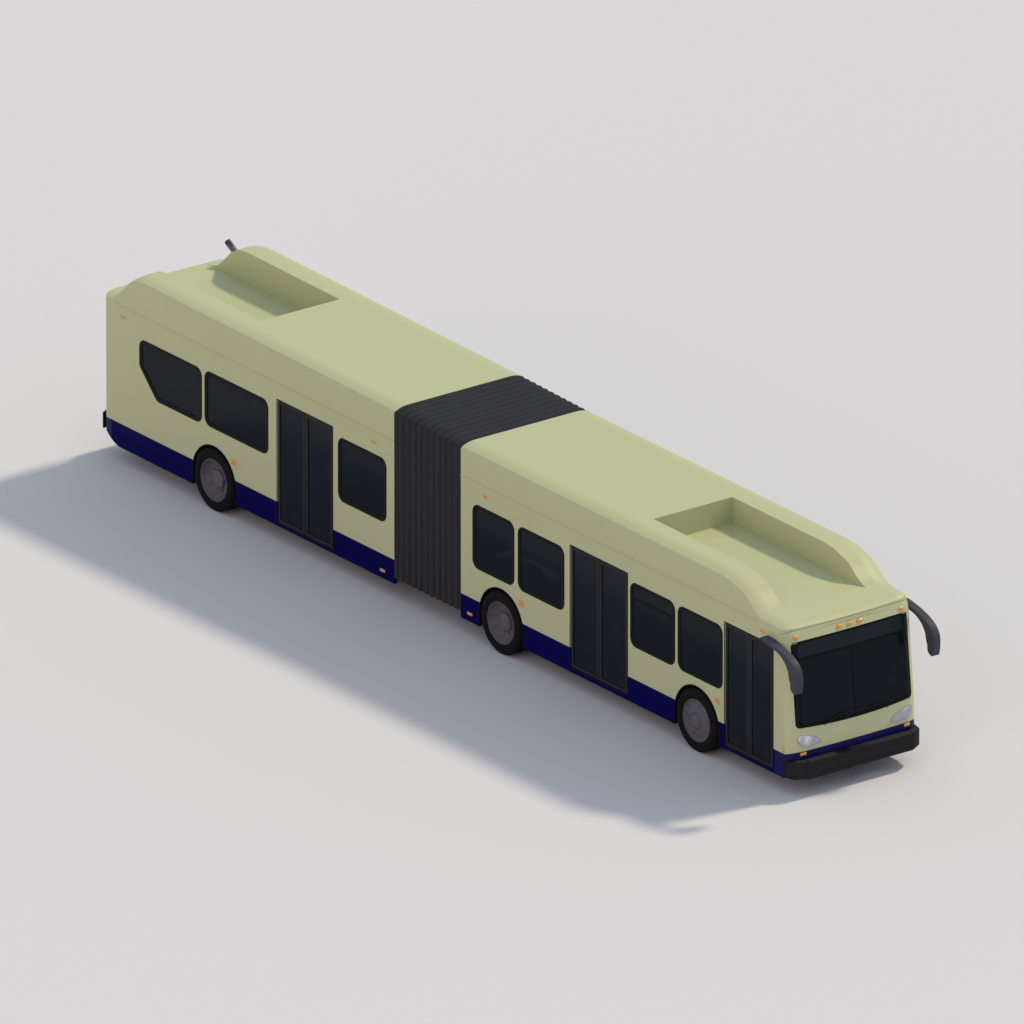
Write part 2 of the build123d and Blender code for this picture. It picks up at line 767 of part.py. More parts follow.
rear_bumper = bumper(-1, rear_bumper_plan, rear_bumper_bottom, rear_bumper_top)
hanger_end = rail_end + 120
hanger_low = rail_low - 160
hanger_thick = 80
for side in (-1, 1):
    hanger = (side, rail_y, rail_y + rail_wide)
    rear_bumper += side_box(bumper_deep - half_length, hanger_end, *hanger, hanger_low,
                            hanger_low + hanger_thick)
    rear_bumper += side_box(rail_end + bumper_room, hanger_end, *hanger, hanger_low, rail_low)
parts["rear_bumper"] = rear_bumper

# Engine block between the rails, and the exhaust: a riser in the rear left corner, turned back over the roof
engine_back = tail_face + 310
engine_length = 1150
engine_bottom = 450
engine_top = 1300
parts["engine"] = box(engine_back, engine_back + engine_length, -rail_y, rail_y, engine_bottom, engine_top)
exhaust_at = 714 - half_length
exhaust_y = half_width - 245
exhaust_radius = 54
exhaust_wall = 5
exhaust_turn_z = 3061
exhaust_lean = 62
exhaust_reach = 344
exhaust_room = 8
turn = Pos(exhaust_at, exhaust_y, exhaust_turn_z)
lean = turn * Rot(0, -exhaust_lean, 0)


def riser(radius, foot):
    """The exhaust's upright run and its leaning end, as one body of one radius."""
    return (bar_z(exhaust_at, exhaust_y, radius, foot, exhaust_turn_z) + turn * Sphere(radius)
            + lean * Pos(0, 0, exhaust_reach / 2) * Cylinder(radius, exhaust_reach))


mouth = lean * Pos(0, 0, exhaust_reach / 2 + past) * Cylinder(exhaust_radius - exhaust_wall, exhaust_reach)
parts["exhaust_pipe"] = riser(exhaust_radius, engine_deck_top) - mouth
parts["rear_roof"] = rear_roof - riser(exhaust_radius + exhaust_room, cove_bottom)

# Bellows and the turntable under it
bellows_bottom = 370
gangway_radius = 850
gangway_room = 20
bellows_rows = [(front_joint, side_edge_front, roof_top), (rear_joint, side_edge_rear, rear_roof_top)]
hollow_rows = [(front_joint + past, *bellows_rows[0][1:]), (rear_joint - past, *bellows_rows[1][1:])]
parts["bellows"] = (
    roof_body(bellows_rows, 0, bellows_bottom)
    - roof_body(hollow_rows, wall, bellows_bottom + wall)
    - bar_z(pivot_at, 0, gangway_radius + gangway_room, 0, bellows_bottom + wall + past)
)
gangway_thick = 40
ring_radius = 600
ring_thick = 100
ring_gap = 6
lower_thick = 74
pin_radius = 110
pin_over = 20
arm_in = 220
arm_out = 460
arm_reach = 1515
arm_riser_back = 35
upper_top = floor_top - gangway_thick
upper_low = upper_top - ring_thick
lower_top = upper_low - ring_gap
lower_low = lower_top - lower_thick
turntable = bar_z(pivot_at, 0, gangway_radius, upper_top, floor_top)
turntable += bar_z(pivot_at, 0, ring_radius, upper_low, upper_top)
turntable += bar_z(pivot_at, 0, pin_radius, lower_low - pin_over, upper_low)
lower = bar_z(pivot_at, 0, ring_radius, lower_low, lower_top)
for side in (-1, 1):
    arm = (side, arm_in, arm_out)
    turntable += side_box(pivot_at, pivot_at + arm_reach, *arm, upper_low, floor_bottom)
    lower += side_box(pivot_at - arm_reach, pivot_at, *arm, lower_low, lower_top)
    lower += side_box(pivot_at - arm_reach, rear_joint - arm_riser_back, *arm, lower_low, floor_bottom)
parts["turntable_front"] = turntable
pin_bore = bar_z(pivot_at, 0, pin_radius + running_gap, lower_low - past, lower_top + past)
parts["turntable_rear"] = lower - pin_bore

# Axles, knuckles and wheels
parts["front_axle_beam"] = cranked_beam(front_axle_at)
knuckle_reach = 110
knuckle_plate_in = 75
ear_clear = 6
front_stub_end = stub_end + 20


def knuckle(side):
    """A steering knuckle: two ears and the kingpin, and the stub axle that carries the wheel."""
    x, z = front_axle_at, tyre_radius
    low, high, plate_y = z - knuckle_reach, z + knuckle_reach, kingpin_y + knuckle_plate_in
    piece = bar_z(x, side * kingpin_y, kingpin_radius, low, high)
    piece += side_box(x - beam_half, x + beam_half, side, plate_y, kingpin_y + knuckle_reach, low, high)
    for z0, z1 in ((low, z - eye_half - ear_clear), (z + eye_half + ear_clear, high)):
        piece += side_box(x - beam_half, x + beam_half, side, kingpin_y - beam_half, plate_y, z0, z1)
    return piece + bar_y(x, z, stub_radius, side * plate_y, side * front_stub_end)


parts["knuckle_right"] = knuckle(-1)
parts["knuckle_left"] = knuckle(1)

leg_in = box_inner + 12
leg_out = twin_inner_face - 15
middle_beam = box(middle_axle_at - beam_half, middle_axle_at + beam_half, -leg_out, leg_out,
                  beam_bottom, beam_bottom + beam_depth)
for side in (-1, 1):
    middle_beam += side_box(middle_axle_at - beam_half, middle_axle_at + beam_half, side, leg_in, leg_out,
                            beam_bottom, tyre_radius + beam_half)
    middle_beam += bar_y(middle_axle_at, tyre_radius, stub_radius, side * leg_in, side * stub_end)
parts["middle_axle"] = middle_beam

tube_radius = 95
tube_end = twin_inner_face - 20
bowl_radius = 205
drive_axle = bar_y(rear_axle_at, tyre_radius, tube_radius, -tube_end, tube_end)
drive_axle += bar_y(rear_axle_at, tyre_radius, stub_radius, -stub_end, stub_end)
parts["drive_axle"] = drive_axle + Pos(rear_axle_at, 0, tyre_radius) * Sphere(bowl_radius)

for side, word in ((-1, "right"), (1, "left")):
    parts[f"front_tyre_{word}"] = tyre(front_axle_at, side, tyre_centre)
    parts[f"front_rim_{word}"] = front_rim(front_axle_at, side)
    for axle, station in (("middle", middle_axle_at), ("rear", rear_axle_at)):
        pair = [tyre(station, side, tyre_centre), tyre(station, side, tyre_centre - twin_pitch)]
        parts[f"{axle}_tyres_{word}"] = solids_of(*pair)
        parts[f"{axle}_rims_{word}"] = twin_rims(station, side)

# Door leaves
for row in doorways:
    for leaf in ("rear", "front"):
        frame, pane = leaf_parts(row, leaf)
        parts[f"{row[0]}_{leaf}_leaf"] = frame
        parts[f"{row[0]}_{leaf}_pane"] = pane

# Mirrors: an arm from the corner post that hooks forward and down, and the housing at its end.
# The outline in the side view is (distance ahead of the bumper's face, height).
mirror_thick = 142
mirror_outline = [
    (-779, 2562), (-754, 2592), (-594, 2590), (-250, 2517), (17, 2411), (142, 2290), (mirror_reach, 2180),
    (mirror_reach, 2050), (156, 1905), (106, 1890), (16, 1940), (-14, 2130), (-114, 2320), (-235, 2440),
    (-395, 2477),
]


def mirror(side):
    """One mirror with its arm."""
    outline = [(half_length + ahead, height) for ahead, height in mirror_outline]
    return side_slab(outline, *sorted((side * half_width, side * (half_width + mirror_thick))))


parts["mirrors"] = solids_of(mirror(-1), mirror(1))

# Seats: a moulded shell on a pedestal, two places wide
seat_width = 860
driver_seat_width = 480
driver_seat_y = 520
seat_deep = 430
seat_height = 440
seat_back = 640
seat_thick = 60
seat_wall_gap = 20
pedestal_inset = 120
pedestal_half = 60


def seat(station, y_low, floor_at, width):
    """One seat that faces forward: cushion, back and pedestal. Its back stands at station."""
    top = floor_at + seat_height
    cushion = box(station, station + seat_deep, y_low, y_low + width, top - seat_thick, top)
    back = box(station, station + seat_thick, y_low, y_low + width, top, top + seat_back)
    post_y = y_low + width / 2
    pedestal = box(station + pedestal_inset, station + seat_deep - pedestal_inset, post_y - pedestal_half,
                   post_y + pedestal_half, floor_at, top - seat_thick)
    return cushion + back + pedestal


left_seats_y = inner_half - seat_wall_gap - seat_width
right_seats_y = seat_wall_gap - inner_half
# Rows of seats as (datum, station of the back)
low_left_rows = [("pivot", 2865), ("pivot", 3595), ("pivot", 4325), ("nose", -4714), ("nose", -3984)]
low_right_rows = [("pivot", 2865), ("nose", -4204)]
rear_left_rows = [("pivot", -1835), ("pivot", -2585), ("pivot", -3335)]
rear_right_rows = [("pivot", -1835)]
high_rows = [("tail", 3904), ("tail", 1854)]
front_seats = [seat(datums[d] + x, left_seats_y, floor_top, seat_width) for d, x in low_left_rows]
front_seats += [seat(datums[d] + x, right_seats_y, floor_top, seat_width) for d, x in low_right_rows]
front_seats.append(seat(half_length - 1454, driver_seat_y, floor_top, driver_seat_width))
parts["front_seats"] = solids_of(*front_seats)
rear_seats = [seat(datums[d] + x, left_seats_y, floor_top, seat_width) for d, x in rear_left_rows]
rear_seats += [seat(datums[d] + x, right_seats_y, floor_top, seat_width) for d, x in rear_right_rows]
for y_low in (left_seats_y, right_seats_y):
    rear_seats += [seat(datums[d] + x, y_low, platform_top, seat_width) for d, x in high_rows]
parts["rear_seats"] = solids_of(*rear_seats)

# Dashboard with the steering column and wheel
dash_height = 1060
dash_right = 120
dash_left = inner_half - 75
dash_back = half_length - 734
dash_front = half_length - 364
steering_wheel_radius = 225
rim_grip = 16
column_radius = 32
column_length = 420
spoke_width = 40
boss_radius = 45
boss_height = 30
steering_place = Pos(half_length - 924, 730, 1080) * Rot(0, -30, 0)
dashboard = box(dash_back, dash_front, dash_right, dash_left, floor_top, dash_height)
dashboard += steering_place * Pos(0, 0, -column_length / 2) * Cylinder(column_radius, column_length)
dashboard += steering_place * Torus(steering_wheel_radius, rim_grip)
dashboard += steering_place * Box(2 * steering_wheel_radius - rim_grip, spoke_width, rim_grip)
dashboard += steering_place * Cylinder(boss_radius, boss_height)
parts["dashboard"] = dashboard

os.makedirs("parts", exist_ok=True)
for name, shape in parts.items():
    solids = [Pos(-frame_shift, 0, 0) * solid for solid in (shape if isinstance(shape, list) else [shape])]
    export_step(solids[0] if len(solids) == 1 else Compound(children=solids), f"parts/{name}.step")
print(len(parts), "nodes")
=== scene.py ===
import bpy
import bmesh
import math
import numpy as np
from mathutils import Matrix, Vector


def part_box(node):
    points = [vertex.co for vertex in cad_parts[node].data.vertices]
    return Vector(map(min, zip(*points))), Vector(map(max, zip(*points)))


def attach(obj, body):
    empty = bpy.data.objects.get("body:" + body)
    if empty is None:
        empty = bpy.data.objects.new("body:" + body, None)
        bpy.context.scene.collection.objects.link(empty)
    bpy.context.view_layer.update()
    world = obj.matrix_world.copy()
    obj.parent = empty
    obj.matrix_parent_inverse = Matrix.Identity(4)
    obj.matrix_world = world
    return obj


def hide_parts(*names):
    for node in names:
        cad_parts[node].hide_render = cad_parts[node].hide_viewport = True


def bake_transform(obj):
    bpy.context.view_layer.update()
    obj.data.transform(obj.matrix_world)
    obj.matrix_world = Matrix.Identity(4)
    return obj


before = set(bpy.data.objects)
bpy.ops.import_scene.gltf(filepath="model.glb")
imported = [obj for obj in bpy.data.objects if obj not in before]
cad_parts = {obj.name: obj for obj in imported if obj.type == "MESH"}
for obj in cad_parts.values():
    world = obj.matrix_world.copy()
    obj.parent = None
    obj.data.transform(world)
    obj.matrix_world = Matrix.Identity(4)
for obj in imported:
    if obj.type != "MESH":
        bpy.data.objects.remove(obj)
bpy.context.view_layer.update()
scene = bpy.context.scene

# The view: the photograph is taken from far away along (4, -3, 2), so its parallel edges stay parallel.
# A long lens at the matching distance gives the same picture, and lets every other view frame the whole bus.
photo_direction = Vector((4, -3, 2)).normalized()
photo_target = Vector((0.018, 0, 1.6685))
photo_width = 16.3855
sensor = 36
lens = 1700
camera = bpy.data.objects.new("camera", bpy.data.cameras.new("camera"))
scene.collection.objects.link(camera)
camera.data.lens = lens
camera.data.sensor_width = sensor
camera.data.clip_start = 1
camera.data.clip_end = 3000
camera.location = photo_target + photo_direction * photo_width * lens / sensor
camera.rotation_euler = photo_direction.to_track_quat("Z", "Y").to_euler()
scene.camera = camera
scene.view_settings.view_transform = "Standard"

# The studio: a warm lamp at 45 degrees on the far side of the bus, an even cool sky, and a pale floor.
# The door side and the front lie in shade, with a weak warm fill, as in the photograph.
for name, energy, colour, soft_degrees, direction in (
        ("key_light", 2.25, (1, 0.88, 0.655), 6, (0.05, 0.95, 1)),
        ("fill_light", 0.6, (1, 0.62, 0.43), 40, (0.35, -1, 0.3))):
    lamp = bpy.data.objects.new(name, bpy.data.lights.new(name, "SUN"))
    lamp.data.energy = energy
    lamp.data.color = colour
    lamp.data.angle = math.radians(soft_degrees)
    lamp.rotation_euler = Vector(direction).to_track_quat("Z", "Y").to_euler()
    scene.collection.objects.link(lamp)
scene.world = bpy.data.worlds.new("studio")
scene.world.use_nodes = True
sky = scene.world.node_tree.nodes["Background"]
sky.inputs["Color"].default_value = (0.75, 0.86, 1, 1)
sky.inputs["Strength"].default_value = 0.60


class Shade:
    """A number on its way through a material. Sums and products of it add Math nodes."""

    def __init__(self, finish, socket):
        self.finish = finish
        self.socket = socket

    def maths(self, operation, first, second):
        return self.finish.number("ShaderNodeMath", {"operation": operation}, {0: first, 1: second})

    def __add__(self, other):
        return self.maths("ADD", self, other)

    def __sub__(self, other):
        return self.maths("SUBTRACT", self, other)

    def __rsub__(self, other):
        return self.maths("SUBTRACT", other, self)

    def __mul__(self, other):
        return self.maths("MULTIPLY", self, other)

    def __gt__(self, other):
        return self.maths("GREATER_THAN", self, other)

    def __lt__(self, other):
        return self.maths("LESS_THAN", self, other)

    __radd__ = __add__
    __rmul__ = __mul__


class Finish:
    """One material under its name, with a method that adds any node and one that sets the surface."""

    def __init__(self, name):
        self.material = bpy.data.materials.new(name)
        self.material.use_nodes = True
        self.tree = self.material.node_tree
        self.surface = self.tree.nodes["Principled BSDF"]
        self.place = self.node("ShaderNodeTexCoord", {}, {}).outputs["Object"]

    def node(self, kind, settings, values):
        """Adds a node, sets its settings first and then its sockets, each to a value or a link."""
        made = self.tree.nodes.new(kind)
        for name, value in settings.items():
            setattr(made, name, value)
        for name, value in values.items():
            self.feed(made.inputs[name], value)
        return made

    def feed(self, socket, value):
        """Links a socket to a Shade or another socket, or sets it to a plain value."""
        if isinstance(value, Shade):
            value = value.socket
        if isinstance(value, bpy.types.NodeSocket):
            self.tree.links.new(value, socket)
        else:
            socket.default_value = value

    def number(self, kind, settings, values):
        """Adds a node and takes its first output as a number."""
        return Shade(self, self.node(kind, settings, values).outputs[0])

    def noise(self, size, detail=3, stretch=(1, 1, 1)):
        """Cloudy noise from 0 to 1 whose blotches are about size metres wide."""
        place = self.node("ShaderNodeMapping", {}, {"Vector": self.place, "Scale": stretch}).outputs[0]
        return self.number("ShaderNodeTexNoise", {}, {"Vector": place, "Scale": 1 / size, "Detail": detail})

    def cells(self, size):
        """Distance from the middle of the nearest of many small cells, 0 to about 1."""
        return self.number("ShaderNodeTexVoronoi", {}, {"Vector": self.place, "Scale": 1 / size})

    def waves(self, axis, scale):
        """Even bands along an axis, from 0 to 1; a larger scale makes them finer."""
        settings = {"bands_direction": axis}
        return self.number("ShaderNodeTexWave", settings, {"Vector": self.place, "Scale": scale})

    def axis(self, name):
        """A point's own coordinate in metres: name is X, Y or Z."""
        return Shade(self, self.node("ShaderNodeSeparateXYZ", {}, {0: self.place}).outputs[name])

    def ramp(self, number, start, end):
        """0 at start, 1 at end, and straight between them; start may be the larger."""
        values = {"Value": number, "From Min": start, "From Max": end}
        return self.number("ShaderNodeMapRange", {"clamp": True}, values)

    def mix(self, factor, first, second):
        made = self.node("ShaderNodeMix", {"data_type": "RGBA"}, {0: factor})
        self.feed(made.inputs[6], first)
        self.feed(made.inputs[7], second)
        return made.outputs[2]

    def bump(self, height, depth):
        """A bump whose height runs over depth metres."""
        return self.node("ShaderNodeBump", {}, {"Height": height, "Distance": depth}).outputs[0]

    def paint(self, **values):
        """Sets the surface's sockets, with words joined by _ in their names."""
        for name, value in values.items():
            self.feed(self.surface.inputs[name.replace("_", " ")], value)
        return self.material


def srgb(red, green, blue):
    """A colour as seen on screen, from 0 to 255, as the light it stands for."""
    shares = [channel / 255 for channel in (red, green, blue)]
    return (*[s / 12.92 if s < 0.04 else ((s + 0.055) / 1.055) ** 2.4 for s in shares], 1)


def scaled(colour, share):
    """A colour with its light multiplied by share."""
    return (*[min(1, channel * share) for channel in colour[:3]], 1)


studio_floor = Finish("studio_floor")
studio_floor.paint(Base_Color=srgb(216, 215, 220), Roughness=0.9, Specular_IOR_Level=0.1)
floor_half = 70
floor_mesh = bpy.data.meshes.new("floor")
floor_corners = [(x * floor_half, y * floor_half, 0) for x, y in ((-1, -1), (1, -1), (1, 1), (-1, 1))]
floor_mesh.from_pydata(floor_corners, [], [(0, 1, 2, 3)])
floor_mesh.materials.append(studio_floor.material)
floor = bpy.data.objects.new("floor", floor_mesh)
scene.collection.objects.link(floor)

# Body shell: side walls, roofs, the front and rear ends and the engine's door.
# They are painted aluminium and moulded panels, so each is the frame's own panel with softened edges.
front, rear = "front_section", "rear_section"
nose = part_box("front_bumper")[1][0]
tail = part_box("rear_bumper")[0][0]
pivot = -0.508
half_width = 1.295
navy_line, mask_navy_line = 0.70, 0.732
shell_edge = 0.004


def shown(piece, material, body, nodes=(), smooth_below=35):
    """Puts a piece in the scene on a body, if one is named, with its finish, in place of nodes."""
    scene.collection.objects.link(piece)
    mesh = piece.data
    mesh.materials.clear()
    mesh.materials.append(material)
    mesh.polygons.foreach_set("use_smooth", np.ones(len(mesh.polygons), bool))
    mesh.set_sharp_from_angle(angle=math.radians(smooth_below))
    if body:
        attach(piece, body)
    if nodes:
        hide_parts(*nodes)
    return piece


def panel_of(node, joined_below=0.5):
    """The frame's mesh of a node as a new piece, corners joined and flat triangles made one face."""
    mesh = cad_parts[node].data.copy()
    mesh.name = f"{node}_panel"
    work = bmesh.new()
    work.from_mesh(mesh)
    bmesh.ops.remove_doubles(work, verts=work.verts, dist=1e-5)
    bmesh.ops.dissolve_limit(work, angle_limit=math.radians(joined_below), verts=work.verts, edges=work.edges)
    work.to_mesh(mesh)
    work.free()
    return bpy.data.objects.new(f"{node}_panel", mesh)


def softened(piece, width, segments=2, angle=35):
    """Rounds the piece's sharp edges by width metres and keeps its large faces evenly lit."""
    bevel = piece.modifiers.new("soft_edges", "BEVEL")
    bevel.width = width
    bevel.segments = segments
    bevel.limit_method = "ANGLE"
    bevel.angle_limit = math.radians(angle)
    even = piece.modifiers.new("even_light", "WEIGHTED_NORMAL")
    even.weight = 100
    even.keep_sharp = False
    return piece


cream, navy = srgb(188, 191, 150), srgb(2, 2, 76)
dust_on_cream, dust_on_navy = srgb(120, 112, 96), srgb(36, 35, 60)


def body_paint(name, colour, soil, gloss, shine, below=None, line=navy_line):
    """Sprayed paint: faint clouds in the colour, road dust low down, a slight ripple.

    Under navy_line it changes to the colour below, if there is one. On the front the line lies
    higher, so it rises to line as the skin turns from the side to the front."""
    finish = Finish(name)
    height = finish.axis("Z")
    clouds = finish.noise(1.6, 4)
    fine = finish.noise(0.02, 2)
    dust = finish.ramp(height + finish.noise(0.5, 5) * 0.5, 1.1, 0.4)
    clean = finish.mix(clouds, scaled(colour, 0.965), scaled(colour, 1.035))
    if below:
        rise = finish.ramp(finish.axis("X"), nose - 0.30, nose - 0.18) * (line - navy_line)
        clean = finish.mix(height - rise > navy_line, below, clean)
        soil = finish.mix(height - rise > navy_line, dust_on_navy, soil)
    dusty = finish.mix(dust * 0.03 + dust * fine * 0.05, clean, soil)
    ripple = finish.noise(0.35, 2) * 0.7 + finish.noise(0.004, 2) * 0.3
    return finish.paint(
        Base_Color=dusty, Roughness=gloss + dust * 0.2 + fine * 0.05, Specular_IOR_Level=shine,
        Normal=finish.bump(ripple, 0.0005)
    )


cream_paint = body_paint("cream_paint", cream, dust_on_cream, 0.45, 0.22)
mask_paint = body_paint("mask_paint", cream, dust_on_cream, 0.45, 0.22, navy, mask_navy_line)
tail_paint = body_paint("tail_paint", cream, dust_on_cream, 0.45, 0.22, navy)
navy_paint = body_paint("navy_paint", navy, dust_on_navy, 0.45, 0.04)
shell = [("front_right_wall", front, cream_paint), ("front_left_wall", front, cream_paint),
         ("front_roof", front, cream_paint), ("front_mask", front, mask_paint),
         ("rear_right_wall", rear, cream_paint), ("rear_left_wall", rear, cream_paint),
         ("rear_roof", rear, cream_paint), ("rear_end_panel", rear, tail_paint),
         ("engine_door", "engine_lid", tail_paint)]
for node, body, paint in shell:
    softened(shown(panel_of(node), paint, body, [node]), shell_edge)
for node, body in (("front_skirts", front), ("rear_skirts", rear)):
    softened(shown(panel_of(node), navy_paint, body, [node]), shell_edge)

# Drip mouldings: a folded aluminium gutter runs along both sides where the roof panels start.
# It is riveted to the wall's top rail and painted with the body.


def unit(rows):
    """Each row divided by its own length."""
    return rows / np.linalg.norm(rows, axis=1, keepdims=True)


def rounded(corners, radius, steps=6):
    """An outline with rounded corners: each gives way to the arc of radius that touches its two sides."""
    corners = np.asarray(corners, float)
    back = unit(np.roll(corners, 1, 0) - corners)
    ahead = unit(np.roll(corners, -1, 0) - corners)
    half = np.arccos(np.clip((back * ahead).sum(1), -1, 1))[:, None] / 2
    centre = corners + unit(back + ahead) * radius / np.sin(half)
    first = corners + back * radius / np.tan(half) - centre
    last = corners + ahead * radius / np.tan(half) - centre
    turn = (math.pi - 2 * half)[:, None]
    share = np.linspace(0, 1, steps + 1)[None, :, None]
    arc = np.sin((1 - share) * turn) * first[:, None] + np.sin(share * turn) * last[:, None]
    return (centre[:, None] + arc / np.sin(turn)).reshape(-1, corners.shape[1])


def block_profile(width, height, round_off=0.2, steps=3):
    """A rectangle with rounded corners about the middle; round_off is a share of its smaller side."""
    a, b = width / 2, height / 2
    return rounded([(-a, -b), (a, -b), (a, b), (-a, b)], min(width, height) * round_off, steps)


def round_profile(radius, steps=16):
    """A circle about the middle."""
    turn = np.linspace(0, 2 * math.pi, steps, endpoint=False)
    return np.stack([np.cos(turn), np.sin(turn)], 1) * radius


def carried(profile, path, up, ring=False, swell=None):
    """Carries a closed profile along a path: a point (a, b) of it lies a to the path's side and b towards up.

    The side is the path's direction crossed with up; swell, one number a path point, scales the profile.
    ring joins the path's two ends, otherwise both are closed by drawing the last profile to its middle."""
    path = np.asarray(path, float)
    if ring:
        along = np.roll(path, -1, 0) - np.roll(path, 1, 0)
    else:
        along = np.gradient(path, axis=0)
    along = unit(along)
    side = unit(np.cross(along, np.broadcast_to(np.asarray(up, float), path.shape)))
    lift = np.cross(side, along)
    swell = np.ones(len(path)) if swell is None else np.asarray(swell, float)
    flat = profile[None] * swell[:, None, None]
    points = path[:, None] + flat[..., :1] * side[:, None] + flat[..., 1:] * lift[:, None]
    if ring:
        return np.concatenate([points, points[:1]])
    middle = profile.mean(0)
    first = path[:1] + middle[0] * side[:1] + middle[1] * lift[:1]
    last = path[-1:] + middle[0] * side[-1:] + middle[1] * lift[-1:]
    ends = [np.broadcast_to(end[:, None], (1, *points.shape[1:])) for end in (first, last)]
    return np.concatenate([ends[0], points, ends[1]])


pole = 1e-6  # a row shrunk to this share of itself, or to this radius, is joined to a point


def skin(name, *grids):
    """A piece through grids of points: rows of points, each row closed; equal points are joined."""
    points, faces, start = [], [], 0
    for grid in grids:
        rows, columns = grid.shape[:2]
        index = start + np.arange(rows * columns).reshape(rows, columns)
        index = np.hstack([index, index[:, :1]])
        four = np.stack([index[:-1, :-1], index[:-1, 1:], index[1:, 1:], index[1:, :-1]], -1)
        points.append(grid.reshape(-1, 3))
        faces.append(four.reshape(-1, 4))
        start += rows * columns
    mesh = bpy.data.meshes.new(name)
    mesh.from_pydata(np.concatenate(points), [], np.concatenate(faces))
    work = bmesh.new()
    work.from_mesh(mesh)
    bmesh.ops.remove_doubles(work, verts=work.verts, dist=1e-5)
    bmesh.ops.dissolve_degenerate(work, edges=work.edges, dist=1e-6)
    bmesh.ops.recalc_face_normals(work, faces=work.faces)
    work.to_mesh(mesh)
    work.free()
    return bpy.data.objects.new(name, mesh)


def plain_finish(name, colour, roughness, grain, depth, shine=0.3, metal=0.0, spots=0.08, wear=None):
    """A finish with clouds in its colour and a fine grain, grain metres wide and depth high.

    spots is how far the colour strays; wear, a second colour, shows through in patches."""
    finish = Finish(name)
    clouds = finish.noise(0.4, 4)
    fine = finish.noise(grain, 3)
    mixed = finish.mix(clouds * 0.6 + fine * 0.4, scaled(colour, 1 - spots), scaled(colour, 1 + spots))
    if wear:
        mixed = finish.mix(finish.ramp(finish.noise(0.12, 6), 0.56, 0.70) * 0.5, mixed, wear)
    return finish.paint(
        Base_Color=mixed, Roughness=roughness - 0.06 + clouds * 0.12, Metallic=metal,
        Specular_IOR_Level=shine, Normal=finish.bump(fine, depth)
    )


black_rubber = plain_finish("black_rubber", srgb(17, 17, 19), 0.62, 0.004, 0.0004, 0.15)
gutter_y, gutter_z = half_width + 0.002, 2.747
gutter_runs = {front: (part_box("front_right_wall")[0][0], nose - 1.02),
               rear: (tail + 0.53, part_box("rear_right_wall")[1][0])}
gutter_profile = np.array([(-0.006, -0.010), (0.008, -0.010), (0.010, -0.002), (0.006, 0.008),
                           (-0.006, 0.010)])
for body, ends in gutter_runs.items():
    runs = [carried(gutter_profile, [(x, side * gutter_y, gutter_z) for x in ends], (0, 0, 1))
            for side in (-1, 1)]
    shown(skin(f"{body}_gutters", *runs), cream_paint, body)

# Side windows: dark tinted panes held in black rubber gaskets, with a slider bar across one.
# The gasket sits in the wall's hole and laps a finger's width over the paint.
# Each window: body, sides, the point that it is measured from, its ends, its heights, its cut corner.
both, left_only = (-1, 1), (1,)
window_rows = [
    (front, both, nose, -3.115, -1.950, 1.27, 2.35, 0),
    (front, both, nose, -4.369, -3.203, 1.27, 2.35, 0),
    (front, both, pivot, 2.419, 3.635, 1.27, 2.35, 0),
    (front, both, pivot, 1.214, 2.307, 1.27, 2.35, 0),
    (front, left_only, nose, -1.834, -0.714, 1.15, 2.35, 0),
    (front, left_only, pivot, 3.863, 5.255, 1.27, 2.35, 0),
    (rear, both, pivot, -2.384, -1.106, 1.27, 2.35, 0),
    (rear, both, tail, 2.963, 4.662, 1.43, 2.36, 0),
    (rear, both, tail, 1.198, 2.870, 1.41, 2.34, 0.47),
    (rear, left_only, pivot, -3.985, -2.585, 1.27, 2.35, 0),
]
window_radius = 0.14
gasket_section = np.array([
    (-0.060, -0.026), (-0.001, -0.026), (-0.001, 0.001), (0.011, 0.001), (0.012, 0.004), (0.004, 0.007),
    (-0.010, 0.005), (-0.052, 0.001), (-0.060, -0.006)
])


def window_outline(low_x, high_x, low_z, high_z, radius, steps):
    """A rectangle with rounded corners, from its upper corner at low_x down and round to the other one."""
    corners = [(low_x, high_z), (low_x, low_z), (high_x, low_z), (high_x, high_z)]
    return rounded(corners, radius, steps)


def window_gasket(row, side):
    """The gasket's section carried round a window; the section's first number points away from the pane."""
    datum, low_x, high_x, low_z, high_z, cut = row[2:]
    left, right = datum + low_x, datum + high_x
    if cut:
        corners = [(left, high_z), (left, low_z + cut), (left + cut, low_z), (right, low_z), (right, high_z)]
        flat = rounded(corners, window_radius, 8)
    else:
        flat = window_outline(left, right, low_z, high_z, window_radius, 8)
    path = np.insert(flat, 1, side * half_width, axis=1)
    return carried(gasket_section * (-side, 1), path, (0, side, 0), ring=True)


tinted = Finish("tinted_glass")
smears = tinted.noise(0.5, 5, (1, 1, 3))
tint = tinted.mix(smears, srgb(10, 20, 27), srgb(17, 27, 34))
tinted.paint(
    Base_Color=tint, Roughness=0.08 + smears * 0.08, Alpha=0.88 + smears * 0.06, Specular_IOR_Level=0.1
)
for body in (front, rear):
    gaskets = [window_gasket(row, side) for row in window_rows if row[0] == body for side in row[1]]
    shown(skin(f"{body}_window_gaskets", *gaskets), black_rubber, body)
slider_y, slider_z = -half_width + 0.008, 2.076
slider = [(x, slider_y, slider_z) for x in (nose - 4.33, nose - 3.24)]
slider_bar = carried(block_profile(0.012, 0.03), slider, (0, 0, 1))
shown(skin("slider_bar", slider_bar), black_rubber, front)


def coat(material, nodes):
    """Gives carried-over nodes of the frame a material."""
    for node in nodes:
        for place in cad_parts[node].material_slots:
            place.material = material


coat(tinted.material, ["front_side_glass", "rear_side_glass", "windscreen"])

